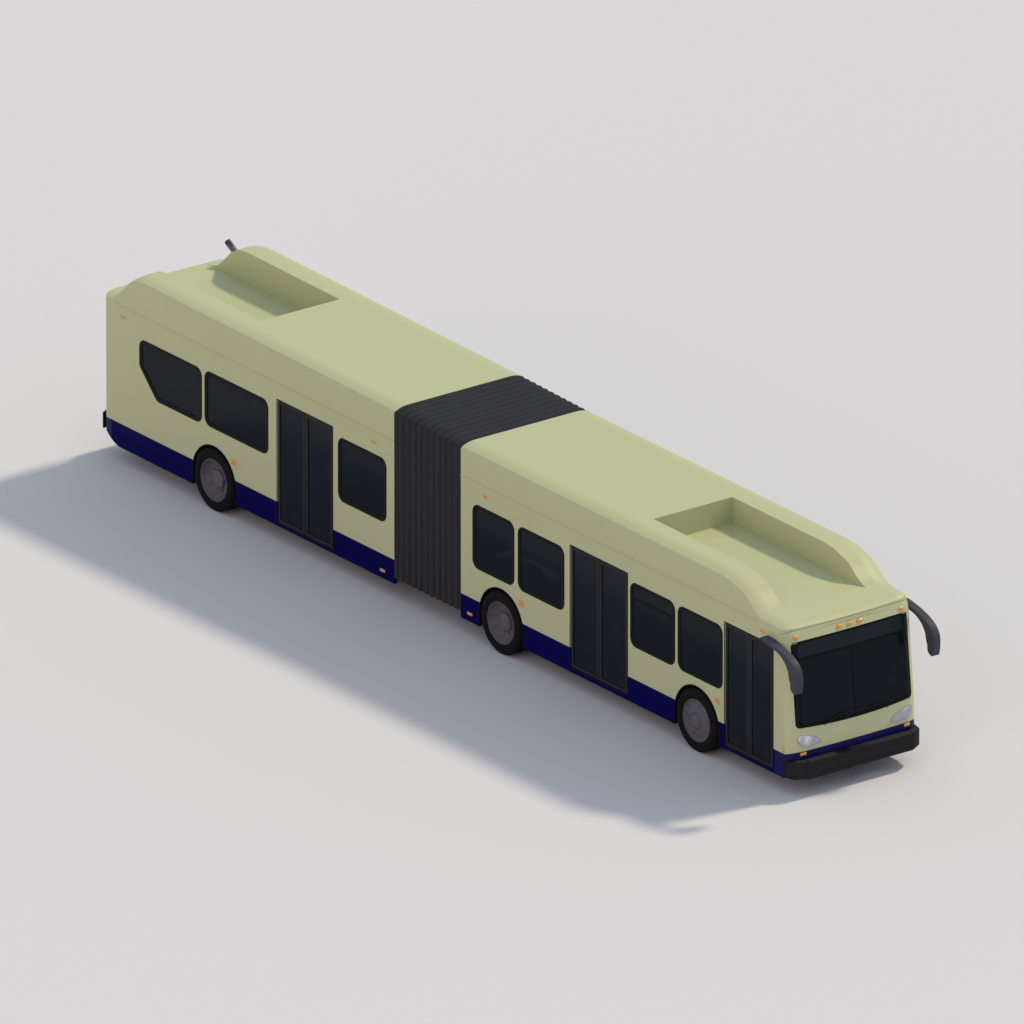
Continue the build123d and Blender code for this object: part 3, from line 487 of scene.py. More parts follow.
# Doors: two aluminium leaves to a doorway, each with a tall pane in a rubber seal.
# Rubber strips meet in the middle, a handrail runs up the inside, and a black seal lines the doorway.
door_paint = plain_finish("door_paint", srgb(33, 32, 35), 0.5, 0.006, 0.0002, 0.2)
steel_rail = plain_finish("rail_steel", srgb(168, 170, 172), 0.32, 0.003, 0.0001, 0.5, 0.9, 0.05)
pane_seal = block_profile(0.016, 0.010)
meeting_strip, foot_strip = block_profile(0.007, 0.034), block_profile(0.03, 0.006)
grip_radius, grip_low, grip_high = 0.012, 0.80, 1.68
door_leaves = [(f"{door}_door_{leaf}", inward) for door in ("front", "middle", "rear")
               for leaf, inward in (("rear", 1), ("front", -1))]
for name, inward in door_leaves:
    softened(shown(panel_of(f"{name}_leaf"), door_paint, name, [f"{name}_leaf"]), shell_edge)
    (low_x, low_y, low_z), (high_x, high_y, high_z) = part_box(f"{name}_pane")
    flat = window_outline(low_x, high_x, low_z, high_z, 0.02, 4)
    seals = [carried(pane_seal, np.insert(flat, 1, y, axis=1), (0, 1, 0), ring=True)
             for y in (low_y - 0.005, high_y + 0.005)]
    leaf_low, leaf_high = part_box(f"{name}_leaf")
    meeting = leaf_high[0] if inward > 0 else leaf_low[0]
    edge_y = (leaf_low[1] + leaf_high[1]) / 2
    edge_x = meeting + inward * 0.0015
    edge = [(edge_x, edge_y, z) for z in (leaf_low[2] + 0.02, leaf_high[2] - 0.02)]
    seals.append(carried(meeting_strip, edge, (0, 1, 0)))
    foot = [(x, edge_y, leaf_low[2] - 0.001) for x in (leaf_low[0] + 0.03, leaf_high[0] - 0.03)]
    seals.append(carried(foot_strip, foot, (0, 0, 1)))
    shown(skin(f"{name}_seals", *seals), black_rubber, name)
    grip_x, fixed_y, grip_y = meeting - inward * 0.05, leaf_high[1] - 0.004, leaf_high[1] + 0.035
    grip = rounded([(grip_x, fixed_y, grip_low - 0.02), (grip_x, grip_y, grip_low),
                    (grip_x, grip_y, grip_high), (grip_x, fixed_y, grip_high + 0.02)], 0.001, 3)
    rail = carried(round_profile(grip_radius, 12), grip, (1, 0, 0))
    shown(skin(f"{name}_handrail", rail), steel_rail, name)
door_glass = Finish("door_glass")
smears = door_glass.noise(0.4, 5, (1, 1, 2))
door_glass.paint(
    Base_Color=door_glass.mix(smears, srgb(17, 25, 34), srgb(24, 32, 41)),
    Roughness=0.08 + smears * 0.1, Alpha=0.86 + smears * 0.08, Specular_IOR_Level=0.1
)
coat(door_glass.material, [f"{name}_pane" for name, inward in door_leaves])
doorways = {
    front: [(nose - 1.891, nose - 0.617, 0.343, 2.453), (pivot + 3.803, pivot + 5.315, 0.367, 2.458)],
    rear: [(pivot - 4.032, pivot - 2.538, 0.341, 2.466)],
}
lining = block_profile(0.014, 0.006) + (0.007, 0)
for body, openings in doorways.items():
    paths = [np.insert(window_outline(*opening, 0.012, 3), 1, -half_width - 0.001, axis=1)
             for opening in openings]
    linings = [carried(lining, path, (0, -1, 0), ring=True) for path in paths]
    shown(skin(f"{body}_doorway_seals", *linings), black_rubber, body)

# Front end: a moulded mask with the one-piece windscreen glued in behind a printed black border.
# A bar parts the sign band from the windscreen, and a thin post stands in the middle.
# A seam runs under the roof.
mask_face = nose - 0.144
mask_heights = np.array([0.283, 0.70, 1.08, 2.53, 2.64, 2.727])
mask_behind = np.array([-0.002, 0, 0.010, 0.158, 0.195, 0.235])
mask_bow, corner_wide, corner_deep = 0.021, 0.268, 0.160
corner_radius = (corner_wide ** 2 + corner_deep ** 2) / (2 * corner_deep)
mask_flat = half_width - corner_wide


def mask_x(y, z):
    """How far forward the mask's skin lies.

    Its face leans back with height, bows forward to the middle, and falls back along an arc of
    corner_radius at each side."""
    past = np.maximum(np.abs(y) - mask_flat, 0)
    round_back = corner_radius - np.sqrt(corner_radius ** 2 - past ** 2)
    bow = mask_bow * np.minimum(np.abs(y) / mask_flat, 1) ** 2
    return mask_face - np.interp(z, mask_heights, mask_behind) - bow - round_back


def on_mask(flat, proud):
    """Points (y, z) seen from the front, put on the mask's skin and moved forward by proud."""
    flat = np.asarray(flat, float)
    return np.stack([mask_x(flat[:, 0], flat[:, 1]) + proud, flat[:, 0], flat[:, 1]], 1)


def spread(start, end, steps=24):
    """Evenly spaced points from start to end."""
    return np.linspace(start, end, steps)


screen_half, screen_sag, sag_height = 1.15, 0.056, 0.3


def screen_outline(half, low, high, radius, steps=240):
    """A rounded window seen from the front in even steps, its lower edge hanging down as a parabola."""
    flat = window_outline(-half, half, low, high, radius, 8)
    closed = np.vstack([flat, flat[:1]])
    run = np.concatenate([[0], np.cumsum(np.linalg.norm(np.diff(closed, axis=0), axis=1))])
    place = np.linspace(0, run[-1], steps + 1)[:-1]
    flat = np.stack([np.interp(place, run, closed[:, i]) for i in range(2)], 1)
    lowness = np.clip((low + sag_height - flat[:, 1]) / sag_height, 0, 1)
    flat[:, 1] -= screen_sag * (1 - (flat[:, 0] / screen_half) ** 2) * lowness
    return flat


forward = (1, 0, 0.12)
inner_y = screen_half - 0.105
border_outside = screen_outline(screen_half + 0.004, 1.137, 2.549, 0.06)
border_inside = screen_outline(inner_y, 1.195, 2.517, 0.05)
border_back, border_front = -0.004, 0.0035
border_print = np.stack([on_mask(flat, proud) for flat, proud in (
    (border_outside, border_back), (border_outside, border_front), (border_inside, border_front),
    (border_inside, border_back), (border_outside, border_back))])
bar_z, bar_height = 2.258, 0.047
sign_low, sign_high = bar_z + bar_height / 2, 2.519
bar_path = on_mask(spread((-inner_y, bar_z), (inner_y, bar_z)), 0.001)
sign_bar = carried(block_profile(bar_height, 0.006), bar_path, forward)
post = carried(block_profile(0.030, 0.008), on_mask(spread((0, 1.13), (0, bar_z)), 0.001), forward)
black_print = plain_finish("black_border", srgb(11, 11, 13), 0.45, 0.01, 0.0001, 0.08)
shown(skin("windscreen_border", border_print, sign_bar, post), black_print, front)
columns = 30
sign_y = np.concatenate([spread(-inner_y, inner_y, columns), spread(inner_y, -inner_y, columns)])
sign_proud = np.repeat([0.0015, border_back], columns)
sign_grid = np.stack([on_mask(np.stack([sign_y, np.full(2 * columns, z)], 1), sign_proud)
                      for z in spread(sign_low, sign_high, 6)])


def walled(rows):
    """Closes a thin wall's two ends by drawing its first and last row to the line between its faces."""
    middle = (rows + rows[:, ::-1]) / 2
    return np.concatenate([middle[:1], rows, middle[-1:]])


sign_glass = plain_finish("sign_glass", srgb(25, 37, 44), 0.25, 0.05, 0.0001, 0.1)
shown(skin("sign_band", walled(sign_grid)), sign_glass, front)
seam_z, seam_drop, seam_turn = 2.719, 0.069, 0.28
seam_y = spread(-half_width + 0.01, half_width - 0.01, 61)
past = np.maximum(np.abs(seam_y) - (half_width - seam_turn), 0) / seam_turn
seam_fall = seam_drop * (1 - np.sqrt(1 - past ** 2))
seam_path = on_mask(np.stack([seam_y, seam_z - seam_fall], 1), 0.0005)
roof_seam = carried(block_profile(0.005, 0.003), seam_path, forward)
shown(skin("roof_seam", roof_seam), black_rubber, front)

# Wipers: two steel arms parked at the foot of the windscreen, each with a rubber blade.
# Each arm turns on a spindle that comes through the mask.
wiper_parts = []
for side in both:
    foot = (side * 0.62, 1.118)
    arm = on_mask(spread(foot, (side * 0.34, 1.205), 12), 0.022)
    blade = on_mask(spread((side * 0.66, 1.168), (side * 0.04, 1.225), 16), 0.012)
    wiper_parts.append(carried(block_profile(0.020, 0.014), arm, forward))
    wiper_parts.append(carried(block_profile(0.010, 0.016), blade, forward))
    spindle = on_mask([foot, foot], 0) + [(0, 0, 0), (0.030, 0, 0)]
    wiper_parts.append(carried(round_profile(0.022, 14), spindle, (0, 0, 1)))
shown(skin("wipers", *wiper_parts), black_rubber, front)

# Headlamps: moulded lenses flush in the mask, with a grey rim; no reflector is built, and its shine is
# painted into the lenses.
# Five amber marker lamps sit over the windscreen, and small ones at the corners low down.
lamp_outline = np.array([(0.680, 0.808), (0.725, 0.885), (0.815, 0.948), (1.095, 1.025), (1.140, 1.005),
                         (1.130, 0.900), (1.075, 0.830), (0.985, 0.798)])


def crowned(flat, put_on, shares, rises):
    """Rows over an outline: each is shrunk by its share towards the middle and put on a skin, risen."""
    middle = flat.mean(0)
    return np.stack([put_on(middle + (flat - middle) * share, rise) for share, rise in zip(shares, rises)])


def lens_on_mask(flat, proud, crown, back):
    """A lens over an outline on the mask, back deep, whose edge stands proud and middle crown more."""
    shares = [pole, 1, 1, 0.96, 0.85, 0.6, 0.3, pole]
    rises = [-back, -back, *(proud + crown * part for part in (0, 0.3, 0.65, 0.9, 1, 1))]
    return crowned(flat, on_mask, shares, rises)


def disc(y, z, radius, steps=28):
    """A circle of points (y, z)."""
    return round_profile(radius, steps) + (y, z)


# The lens's pale colour is painted reflection of reflectors behind it, with painted sheen brightest at the
# middle of each cell.
lens_finish = Finish("headlamp_lens")
flutes = lens_finish.waves("Y", 22)
painted_sheen_cells = lens_finish.cells(0.16)
lens_painted_sheen = lens_finish.mix(lens_finish.ramp(painted_sheen_cells, 0.2, 0.7), srgb(222, 220, 232), srgb(172, 170, 188))
lens_finish.paint(
    Base_Color=lens_painted_sheen, Roughness=0.12 + painted_sheen_cells * 0.1, Coat_Weight=0.6, Coat_Roughness=0.05,
    Specular_IOR_Level=0.4, Normal=lens_finish.bump(flutes, 0.001)
)
grey_rim = plain_finish("lamp_rim", srgb(120, 120, 130), 0.4, 0.004, 0.0001)
lamp_frame = plain_finish("lamp_frame", srgb(160, 160, 166), 0.45, 0.004, 0.0001)
lenses, rims = [], []
for side in both:
    flat = rounded(lamp_outline * (side, 1), 0.02, 4)
    lenses.append(lens_on_mask(flat, 0.002, 0.012, 0.02))
    inside = flat.mean(0) + (flat - flat.mean(0)) * (0.93, 0.88)
    rims.append(carried(block_profile(0.024, 0.008, 0.3), on_mask(inside, 0.006), forward, ring=True))
    for y, z in ((1.035, 0.93), (0.90, 0.895)):
        bulb = on_mask(disc(side * y, z, 0.042, 24), 0.0135)
        rims.append(carried(block_profile(0.004, 0.004), bulb, forward, ring=True))
shown(skin("headlamp_lenses", *lenses), lens_finish.material, front, ["headlamps"])
shown(skin("headlamp_rims", *rims), lamp_frame, front)
amber = Finish("amber_lens")
amber.paint(
    Base_Color=amber.mix(amber.noise(0.05), srgb(204, 140, 48), srgb(226, 160, 60)), Roughness=0.3,
    Coat_Weight=0.4, Coat_Roughness=0.1, Specular_IOR_Level=0.4,
    Normal=amber.bump(amber.waves("Z", 40), 0.0006)
)


def lozenge(width, height, radius):
    """The rounded outline of a small lamp about the middle."""
    return window_outline(-width / 2, width / 2, -height / 2, height / 2, radius, 3)


marker = lozenge(0.11, 0.05, 0.012)
roof_markers = [lens_on_mask(marker + (y, 2.62), 0.004, 0.016, 0.01) for y in (-1.05, -0.2, 0, 0.2, 1.05)]
low_marker = lozenge(0.12, 0.052, 0.012)
low_markers = [lens_on_mask(low_marker + (y, 0.689), 0.003, 0.012, 0.01) for y in (-1.03, 1.03)]
shown(skin("front_markers", *roof_markers, *low_markers), amber.material, front)


def side_lamp(x, z, width, height, side, crown=0.014):
    """A crowned lamp on a side wall: rows shrink towards the middle as the lens rises."""
    flat = lozenge(width, height, min(width, height) * 0.22)
    shares = np.array([pole, 1, 1, 0.94, 0.75, 0.4, pole])[:, None]
    foot = 0.004
    rise = np.array([-foot, -foot, foot, 0.35 * crown + foot, 0.75 * crown, 0.95 * crown, crown])[:, None]
    y = side * (half_width + rise + 0 * flat[:, 0])
    return np.stack([x + flat[:, 0] * shares, y, z + flat[:, 1] * shares], 2)


# The side lamps: slim ones under the gutter, square ones at window level, and low ones beside the bellows.
slim, square, low = (0.11, 0.05), (0.13, 0.10), (0.13, 0.05)
side_lamp_places = {
    front: [(nose - 0.90, 2.61, slim), (pivot + 1.535, 2.56, slim), (pivot + 2.499, 1.04, square),
            (nose - 2.072, 1.04, square), (pivot + 1.13, 0.42, low), (nose - 0.345, 0.755, (0.035, 0.10))],
    rear: [(tail + 0.732, 2.57, slim), (pivot - 1.442, 2.56, slim), (tail + 3.74, 1.01, square),
           (pivot - 1.20, 0.42, low)],
}
for body, places in side_lamp_places.items():
    lamps = [side_lamp(x, z, *size, side) for side in both for x, z, size in places]
    shown(skin(f"{body}_side_lamps", *lamps), amber.material, body)

# Bumpers: an energy-absorbing rubber beam over steel, bolted to the frame, with raised pads on top in front.
# The pads stop short of a shallow recess right of the middle.
bumper_rubber = plain_finish("bumper_rubber", srgb(30, 29, 31), 0.55, 0.004, 0.0004, 0.15)
# The pads' rubber is a lighter grey than the beam's: painted light on their sloping tops either side of the
# recess.
pad_rubber_painted_light = plain_finish("pad_rubber_painted_light", srgb(47, 49, 50), 0.65, 0.003, 0.0005, 0.1)
for node, body in (("front_bumper", front), ("rear_bumper", rear)):
    softened(shown(panel_of(node), bumper_rubber, body, [node]), 0.012, 3)
bumper_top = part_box("front_bumper")[1][2]
pads = []
for ends in ((-1.02, -0.47), (-0.19, 1.02)):
    run = [(nose - 0.072, y, bumper_top + 0.006) for y in ends]
    pads.append(carried(block_profile(0.128, 0.020, 0.35), run, (0, 0, 1)))
for side in both:
    corner = [(nose - back, side * y, bumper_top + 0.004) for back, y in ((0.075, 1.03), (0.155, 1.20))]
    pads.append(carried(block_profile(0.10, 0.016, 0.35), corner, (0, 0, 1)))
shown(skin("bumper_pads", *pads), pad_rubber_painted_light, front)
rib_profile = block_profile(0.006, 0.014)
ribs = [carried(rib_profile, [(nose - 0.0005, y, z) for y in (-1.01, 1.01)], (1, 0, 0))
        for z in (0.370, 0.528)]
shown(skin("bumper_ribs", *ribs), bumper_rubber, front)

# Mirrors: a moulded arm hooks forward from each corner post and widens into the housing.
# The glass faces back in a black bezel, with a small wide-angle glass under it.
arm_upper = np.array([(-0.779, 2.570), (-0.754, 2.592), (-0.594, 2.590), (-0.250, 2.517), (0.017, 2.411),
                      (0.142, 2.290), (0.1815, 2.180), (0.1825, 2.050), (0.156, 1.910), (0.140, 1.895)])
arm_lower = np.array([(-0.779, 2.562), (-0.700, 2.540), (-0.560, 2.510), (-0.320, 2.462), (-0.150, 2.360),
                      (-0.060, 2.240), (-0.014, 2.140), (0.004, 2.030), (0.020, 1.940), (0.106, 1.890)])
arm_steps, arm_thick = 40, 0.142


def smooth(points, steps):
    """A smooth curve through the points: between two a cubic that also heads for their neighbours."""
    ends = np.vstack([2 * points[0] - points[1], points, 2 * points[-1] - points[-2]])
    place = np.linspace(0, len(points) - 1, steps)
    first = np.minimum(place.astype(int), len(points) - 2)
    t = (place - first)[:, None]
    a, b, c, d = (ends[first + i] for i in range(4))
    curve = 2 * b + (c - a) * t + (2 * a - 5 * b + 4 * c - d) * t ** 2 + (3 * b - a - 3 * c + d) * t ** 3
    return 0.5 * curve


def with_ends(rows):
    """Closes a row of sections by drawing the first and the last of them to a point in its middle."""
    ends = [np.broadcast_to(rows[i].mean(0), (1, *rows.shape[1:])) for i in (0, -1)]
    return np.concatenate([ends[0], rows, ends[1]])


def mirror_arm(side):
    """Rounded sections between the arm's upper and lower edge: each is as high as the edges are apart."""
    upper, lower = smooth(arm_upper, arm_steps), smooth(arm_lower, arm_steps)
    middle, reach = (upper + lower) / 2, upper - lower
    section = block_profile(1, 1, 0.09, 4)
    y = side * (half_width + arm_thick / 2 + section[:, 0] * arm_thick)
    rows = middle[:, None] + reach[:, None] * section[None, :, 1:]
    x, z = nose + rows[..., 0], rows[..., 1]
    return with_ends(np.stack([x, np.broadcast_to(y, x.shape), z], 2))


mirror_shell = plain_finish("mirror_shell", srgb(66, 68, 78), 0.5, 0.003, 0.0003, 0.12)
shown(skin("mirror_arms", mirror_arm(-1), mirror_arm(1)), mirror_shell, front, ["mirrors"])
glass_shares = np.array([pole, 0.98, 0.98, 0.7, 0.4, pole])[:, None, None]
glass_lift = np.array([-0.004, -0.004, 0.001, 0.003, 0.004, 0.0045])[:, None, None]
glass_rows, bezels = [], []
for side in both:
    y = side * (half_width + arm_thick / 2)
    for low_z, high_z in ((2.045, 2.215), (1.955, 2.030)):
        low_x = nose + np.interp([low_z, high_z], arm_lower[::-1, 1], arm_lower[::-1, 0])
        height = math.hypot(low_x[1] - low_x[0], high_z - low_z)
        middle = np.array([low_x.mean() - 0.004, y, (low_z + high_z) / 2])
        rise = np.array([low_x[1] - low_x[0], 0, high_z - low_z]) / height
        out = np.array([-rise[2], 0, rise[0]])
        flat = lozenge(0.112, height, 0.02)
        ring = middle + flat[:, :1] * np.array([0, 1, 0]) + flat[:, 1:] * rise
        bezels.append(carried(block_profile(0.010, 0.012), ring, out, ring=True))
        glass_rows.append(middle + (ring - middle) * glass_shares + out * glass_lift)
mirror_glass = plain_finish("mirror_glass", srgb(214, 219, 224), 0.05, 0.05, 0.00001, 0.5, 1.0, 0.02)
shown(skin("mirror_glasses", *glass_rows), mirror_glass, front)
shown(skin("mirror_bezels", *bezels), black_rubber, front)

# Rear end: a ribbed engine door on two hinges, stacks of round lamps each side, and a bare sign over them.
# The door's louvres are pressed blades inside a frame; two quarter-turn latches hold it at the foot.
hinge_radius = 0.020
tail_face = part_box("engine_door")[0][0] + hinge_radius
tail_bow, tail_corner = 0.04, 0.12
tail_flat = half_width - tail_corner


def tail_x(y):
    """Where the rear panel's skin lies: bowed back to the middle, and a quarter circle at each side."""
    past = np.maximum(np.abs(y) - tail_flat, 0)
    bow = tail_bow * np.minimum(np.abs(y) / tail_flat, 1) ** 2
    return tail_face + bow + tail_corner - np.sqrt(tail_corner ** 2 - past ** 2)


def on_tail(flat, proud):
    """Points (y, z) seen from behind, put on the rear skin and moved back by proud."""
    flat = np.asarray(flat, float)
    return np.stack([tail_x(flat[:, 0]) - proud, flat[:, 0], flat[:, 1]], 1)


def lens_on_tail(flat, proud, crown, back):
    """A lens over an outline on the rear skin, back deep, whose edge stands proud and middle crown more."""
    shares = [pole, 1, 1, 0.95, 0.8, 0.5, pole]
    rises = [-back, -back, *(proud + crown * part for part in (0, 0.4, 0.75, 0.95, 1))]
    return crowned(flat, on_tail, shares, rises)


def ring_on_tail(flat, proud, profile):
    """A profile carried round an outline on the rear skin."""
    return carried(profile, on_tail(flat, proud), (-1, 0, 0), ring=True)


def divided(flat, steps=8):
    """The outline with each of its sides cut into even steps, so that it follows a bowed skin."""
    return np.concatenate([spread(a, b, steps + 1)[:-1] for a, b in zip(flat, np.roll(flat, -1, 0))])


lamp_y, lamp_radius = 1.065, 0.066
lamp_kinds = {"red": (srgb(150, 16, 12), (1.78, 1.12)), "yellow": (srgb(214, 134, 30), (1.56,)),
              "clear": (srgb(206, 208, 212), (1.34,))}
plate = lozenge(0.166, 0.892, 0.05)
plates = [lens_on_tail(plate + (side * lamp_y, 1.45), 0.001, 0.003, 0.03) for side in both]
rings = []
shown(skin("rear_lamp_plates", *plates), black_print, rear, ["tail_lamps"])
for kind, (colour, heights) in lamp_kinds.items():
    finish = Finish(f"{kind}_lens")
    facets = finish.cells(0.012)
    finish.paint(
        Base_Color=finish.mix(facets, scaled(colour, 0.7), scaled(colour, 1.2)), Roughness=0.22,
        Coat_Weight=0.5, Coat_Roughness=0.06, Specular_IOR_Level=0.4, Normal=finish.bump(facets, 0.001)
    )
    spots = [(side * lamp_y, z) for side in both for z in heights]
    lamps = [lens_on_tail(disc(*spot, lamp_radius), 0.006, 0.016, 0.001) for spot in spots]
    shown(skin(f"{kind}_rear_lamps", *lamps), finish.material, rear)
    rings += [ring_on_tail(disc(*spot, lamp_radius + 0.004), 0.008, block_profile(0.012, 0.010, 0.4))
              for spot in spots]
shown(skin("rear_lamp_rings", *rings), grey_rim, rear)
frame_strip = block_profile(0.03, 0.012)
rear_sign = divided(window_outline(-0.62, 0.62, 2.14, 2.42, 0.04, 6))
sign_gasket = ring_on_tail(rear_sign, 0.001, frame_strip)
shown(skin("rear_sign_gasket", sign_gasket), black_rubber, rear)
shown(skin("rear_sign_band", lens_on_tail(rear_sign, 0.002, 0.001, 0.004)), sign_glass, rear)
louvre_low, louvre_high, louvre_pitch = 0.925, 1.58, 0.042
blade = np.array([(-0.002, -0.017), (0.004, -0.017), (0.021, 0.010), (0.014, 0.016), (-0.002, 0.004)])
louvres = [carried(blade, on_tail(spread((start, z), (end, z), 10), 0), (0, 0, 1))
           for z in np.arange(louvre_low, louvre_high, louvre_pitch)
           for start, end in ((-0.02, -0.80), (0.80, 0.02))]
louvre_paint = plain_finish("louvre_paint", srgb(44, 44, 48), 0.5, 0.01, 0.0002, 0.2)
shown(skin("engine_louvres", *louvres), louvre_paint, "engine_lid")
louvre_outline = divided(window_outline(-0.83, 0.83, 0.89, 1.61, 0.03, 4))
louvre_frame = ring_on_tail(louvre_outline, 0.003, frame_strip)
shown(skin("louvre_frame", louvre_frame), louvre_paint, "engine_lid")
latch_places = [(y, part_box("engine_door")[0][2] + 0.062) for y in (-0.55, 0.55)]
latches = [lens_on_tail(disc(*place, 0.028), 0.003, 0.006, 0.002) for place in latch_places]
for y, z in latch_places:
    slot = on_tail([(y, z - 0.018), (y, z + 0.018)], 0.010)
    latches.append(carried(block_profile(0.010, 0.008), slot, (-1, 0, 0)))
shown(skin("engine_latches", *latches), steel_rail, "engine_lid")
top_markers = [lens_on_tail(marker + (y, 2.57), 0.004, 0.012, 0.004) for y in (-1.02, -0.2, 0, 0.2, 1.02)]
shown(skin("rear_markers", *top_markers), bpy.data.materials["red_lens"], rear)

# Bellows: folded coated cloth on hoops between the two sections, open at the foot over the turntable.
# Its hoops rise a little from one section to the other, so it blends between them.
folds, fold_depth, steps_a_fold = 11, 0.038, 10
bellows_low, bellows_thick, edge_width = 0.372, 0.02, 0.28
slope = math.radians(25)
sine, cosine = math.sin(slope), math.cos(slope)


def hoop(half, side_top, crown, low):
    """Half a hoop from the foot over the side to the crown.

    It runs in along the foot, straight up, round a tight arc and a wide one that meet at the slope,
    and then level; the two radii are the pair that ends edge_width inward at the crown's height."""
    height = crown - side_top
    wide = (edge_width * cosine - height * (1 - sine)) / (sine * cosine - (1 - sine) * (1 - cosine))
    tight = (height - wide * (1 - cosine)) / cosine
    first = np.linspace(0, math.pi / 2 - slope, 8)
    second = np.linspace(slope, 0, 8)[1:]
    foot = [(half - 0.36, low), (half - 0.02, low), (half, low + 0.02), (half, (low + side_top) / 2),
            (half, side_top - 0.2)]
    tight_arc = np.stack([half - tight * (1 - np.cos(first)), side_top + tight * np.sin(first)], 1)
    wide_arc = np.stack([half - edge_width + wide * np.sin(second), crown - wide * (1 - np.cos(second))], 1)
    return np.vstack([foot, tight_arc, wide_arc, [(half * 0.4, crown)]])


bellows_rear, bellows_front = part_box("bellows")[0][0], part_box("bellows")[1][0]
share = np.linspace(0, 1, folds * steps_a_fold + 1)
stations = bellows_front + (bellows_rear - bellows_front) * share
inset = fold_depth * (1 - np.abs(np.cos(math.pi * folds * share)) ** 0.4)
hoops = []
for x, s, d in zip(stations, share, inset):
    side_top, crown = 3.167 + 0.045 * s, 3.274 + 0.040 * s
    outer, inner = (hoop(half_width - inward, side_top - inward, crown - inward, bellows_low + inward)
                    for inward in (d, d + bellows_thick))
    outer, inner = (np.vstack([half * (-1, 1), half[::-1]]) for half in (outer, inner))
    loop = np.vstack([outer, inner[::-1]])
    hoops.append(np.column_stack([np.full(len(loop), x), loop]))
bellows_cloth = Finish("bellows_cloth")
cloth = bellows_cloth.noise(0.003, 2)
dirt = bellows_cloth.noise(0.25, 5)
low_dirt = bellows_cloth.ramp(bellows_cloth.axis("Z") + dirt * 0.5, 1.3, 0.5)
clean_cloth = bellows_cloth.mix(dirt, srgb(43, 44, 50), srgb(50, 51, 58))
bellows_cloth.paint(
    Base_Color=bellows_cloth.mix(low_dirt * 0.3, clean_cloth, srgb(58, 55, 54)),
    Roughness=0.75, Specular_IOR_Level=0.12, Normal=bellows_cloth.bump(cloth, 0.0006)
)
bellows = skin("bellows_folds", walled(np.stack(hoops)))
shown(bellows, bellows_cloth.material, None, ["bellows"], 40)
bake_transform(bellows)

# Wheels: tubeless tyres with grooved treads on painted steel discs with ten nuts.
# The front disc bulges out to the hub, the twin wheels' outer disc is dished in.
tyre_radius, tyre_half, tyre_proud = 0.53, 0.14, 0.028
tyre_y, twin_pitch = half_width + tyre_proud - tyre_half, 0.33
axles = {"front": nose - 2.624, "middle": pivot + 1.965, "rear": tail + 3.204}
side_wall = np.array([
    (0.3573, 0.111), (0.362, 0.120), (0.375, 0.129), (0.386, 0.133), (0.392, 0.134), (0.396, 0.137),
    (0.402, 0.137), (0.407, 0.1385), (0.430, 0.140), (0.458, 0.139), (0.464, 0.1385), (0.470, 0.136),
    (0.490, 0.133), (0.505, 0.127), (0.515, 0.119), (0.523, 0.111), (0.5285, 0.104), (0.530, 0.098)
])
groove_foot, tread_steps, disc_steps = tyre_radius - 0.012, 240, 160
grooves = np.array([[(tyre_radius, g + 0.0065), (groove_foot, g + 0.0045), (groove_foot, g - 0.0045),
                     (tyre_radius, g - 0.0065)] for g in (0.070, 0.024, -0.024, -0.070)]).reshape(-1, 2)
tyre_outline = np.vstack([side_wall, grooves, side_wall[::-1] * (1, -1), side_wall[:1]])


def wheel_rows(outline, station, side, centre, turns, shape=None):
    """Turns an outline of (radius, distance outward from centre) about the axle; shape may change both."""
    turn = np.linspace(0, 2 * math.pi, turns, endpoint=False)[None]
    radius = outline[:, :1] + 0 * turn
    out = outline[:, 1:] + 0 * turn
    if shape:
        radius, out = shape(radius, out, turn)
    x, z = station + radius * np.cos(turn), tyre_radius + radius * np.sin(turn)
    return np.stack([x, side * (centre + out), z], 2)


def tread(radius, out, turn):
    """Cuts the shoulder blocks: every fourth step lies 7 mm deeper between the outer groove and the wall."""
    block = (np.round(turn / (2 * math.pi) * tread_steps).astype(int) % 4 == 0)
    shoulder = (np.abs(out) > 0.078) & (radius > 0.513)
    return radius - 0.007 * (block & shoulder), out


front_disc = np.array([
    (0.357, -0.120), (0.357, 0.115), (0.3565, 0.123), (0.350, 0.126), (0.344, 0.120), (0.339, 0.103),
    (0.330, 0.089), (0.318, 0.084), (0.305, 0.083), (0.285, 0.086), (0.262, 0.092), (0.238, 0.098),
    (0.214, 0.105), (0.194, 0.110), (0.178, 0.1135), (0.166, 0.121), (0.160, 0.130), (0.154, 0.134),
    (0.146, 0.135), (0.120, 0.135), (0.108, 0.136), (0.104, 0.141), (0.090, 0.1425), (pole, 0.143),
    (pole, 0.03), (0.25, 0.03), (0.33, 0.01), (0.343, -0.05), (0.345, -0.120), (0.357, -0.120)
])
twin_disc = np.array([
    (0.357, -0.120), (0.357, 0.115), (0.3565, 0.123), (0.350, 0.126), (0.344, 0.120), (0.339, 0.103),
    (0.328, 0.082), (0.312, 0.059), (0.296, 0.037), (0.278, 0.018), (0.262, 0.003), (0.250, -0.006),
    (0.238, -0.010), (0.215, -0.011), (0.172, -0.011), (0.160, -0.008), (0.152, 0.004), (0.148, 0.024),
    (0.144, 0.045), (0.138, 0.050), (0.120, 0.051), (0.112, 0.055), (0.095, 0.057), (pole, 0.058),
    (pole, -0.06), (0.25, -0.06), (0.33, -0.08), (0.345, -0.120), (0.357, -0.120)
])
inner_disc = np.array([
    (0.357, -0.120), (0.357, 0.120), (0.341, 0.120), (0.338, 0.06), (0.30, 0.0), (0.247, -0.02),
    (0.15, -0.02), (0.15, -0.05), (0.22, -0.05), (0.33, -0.08), (0.345, -0.120), (0.357, -0.120)
])
hand_hole_count, nut_count = 10, 10
hole_ring, hole_half_turn, hole_half_radius, hole_depth = 0.285, math.pi / 24, 0.030, 0.022


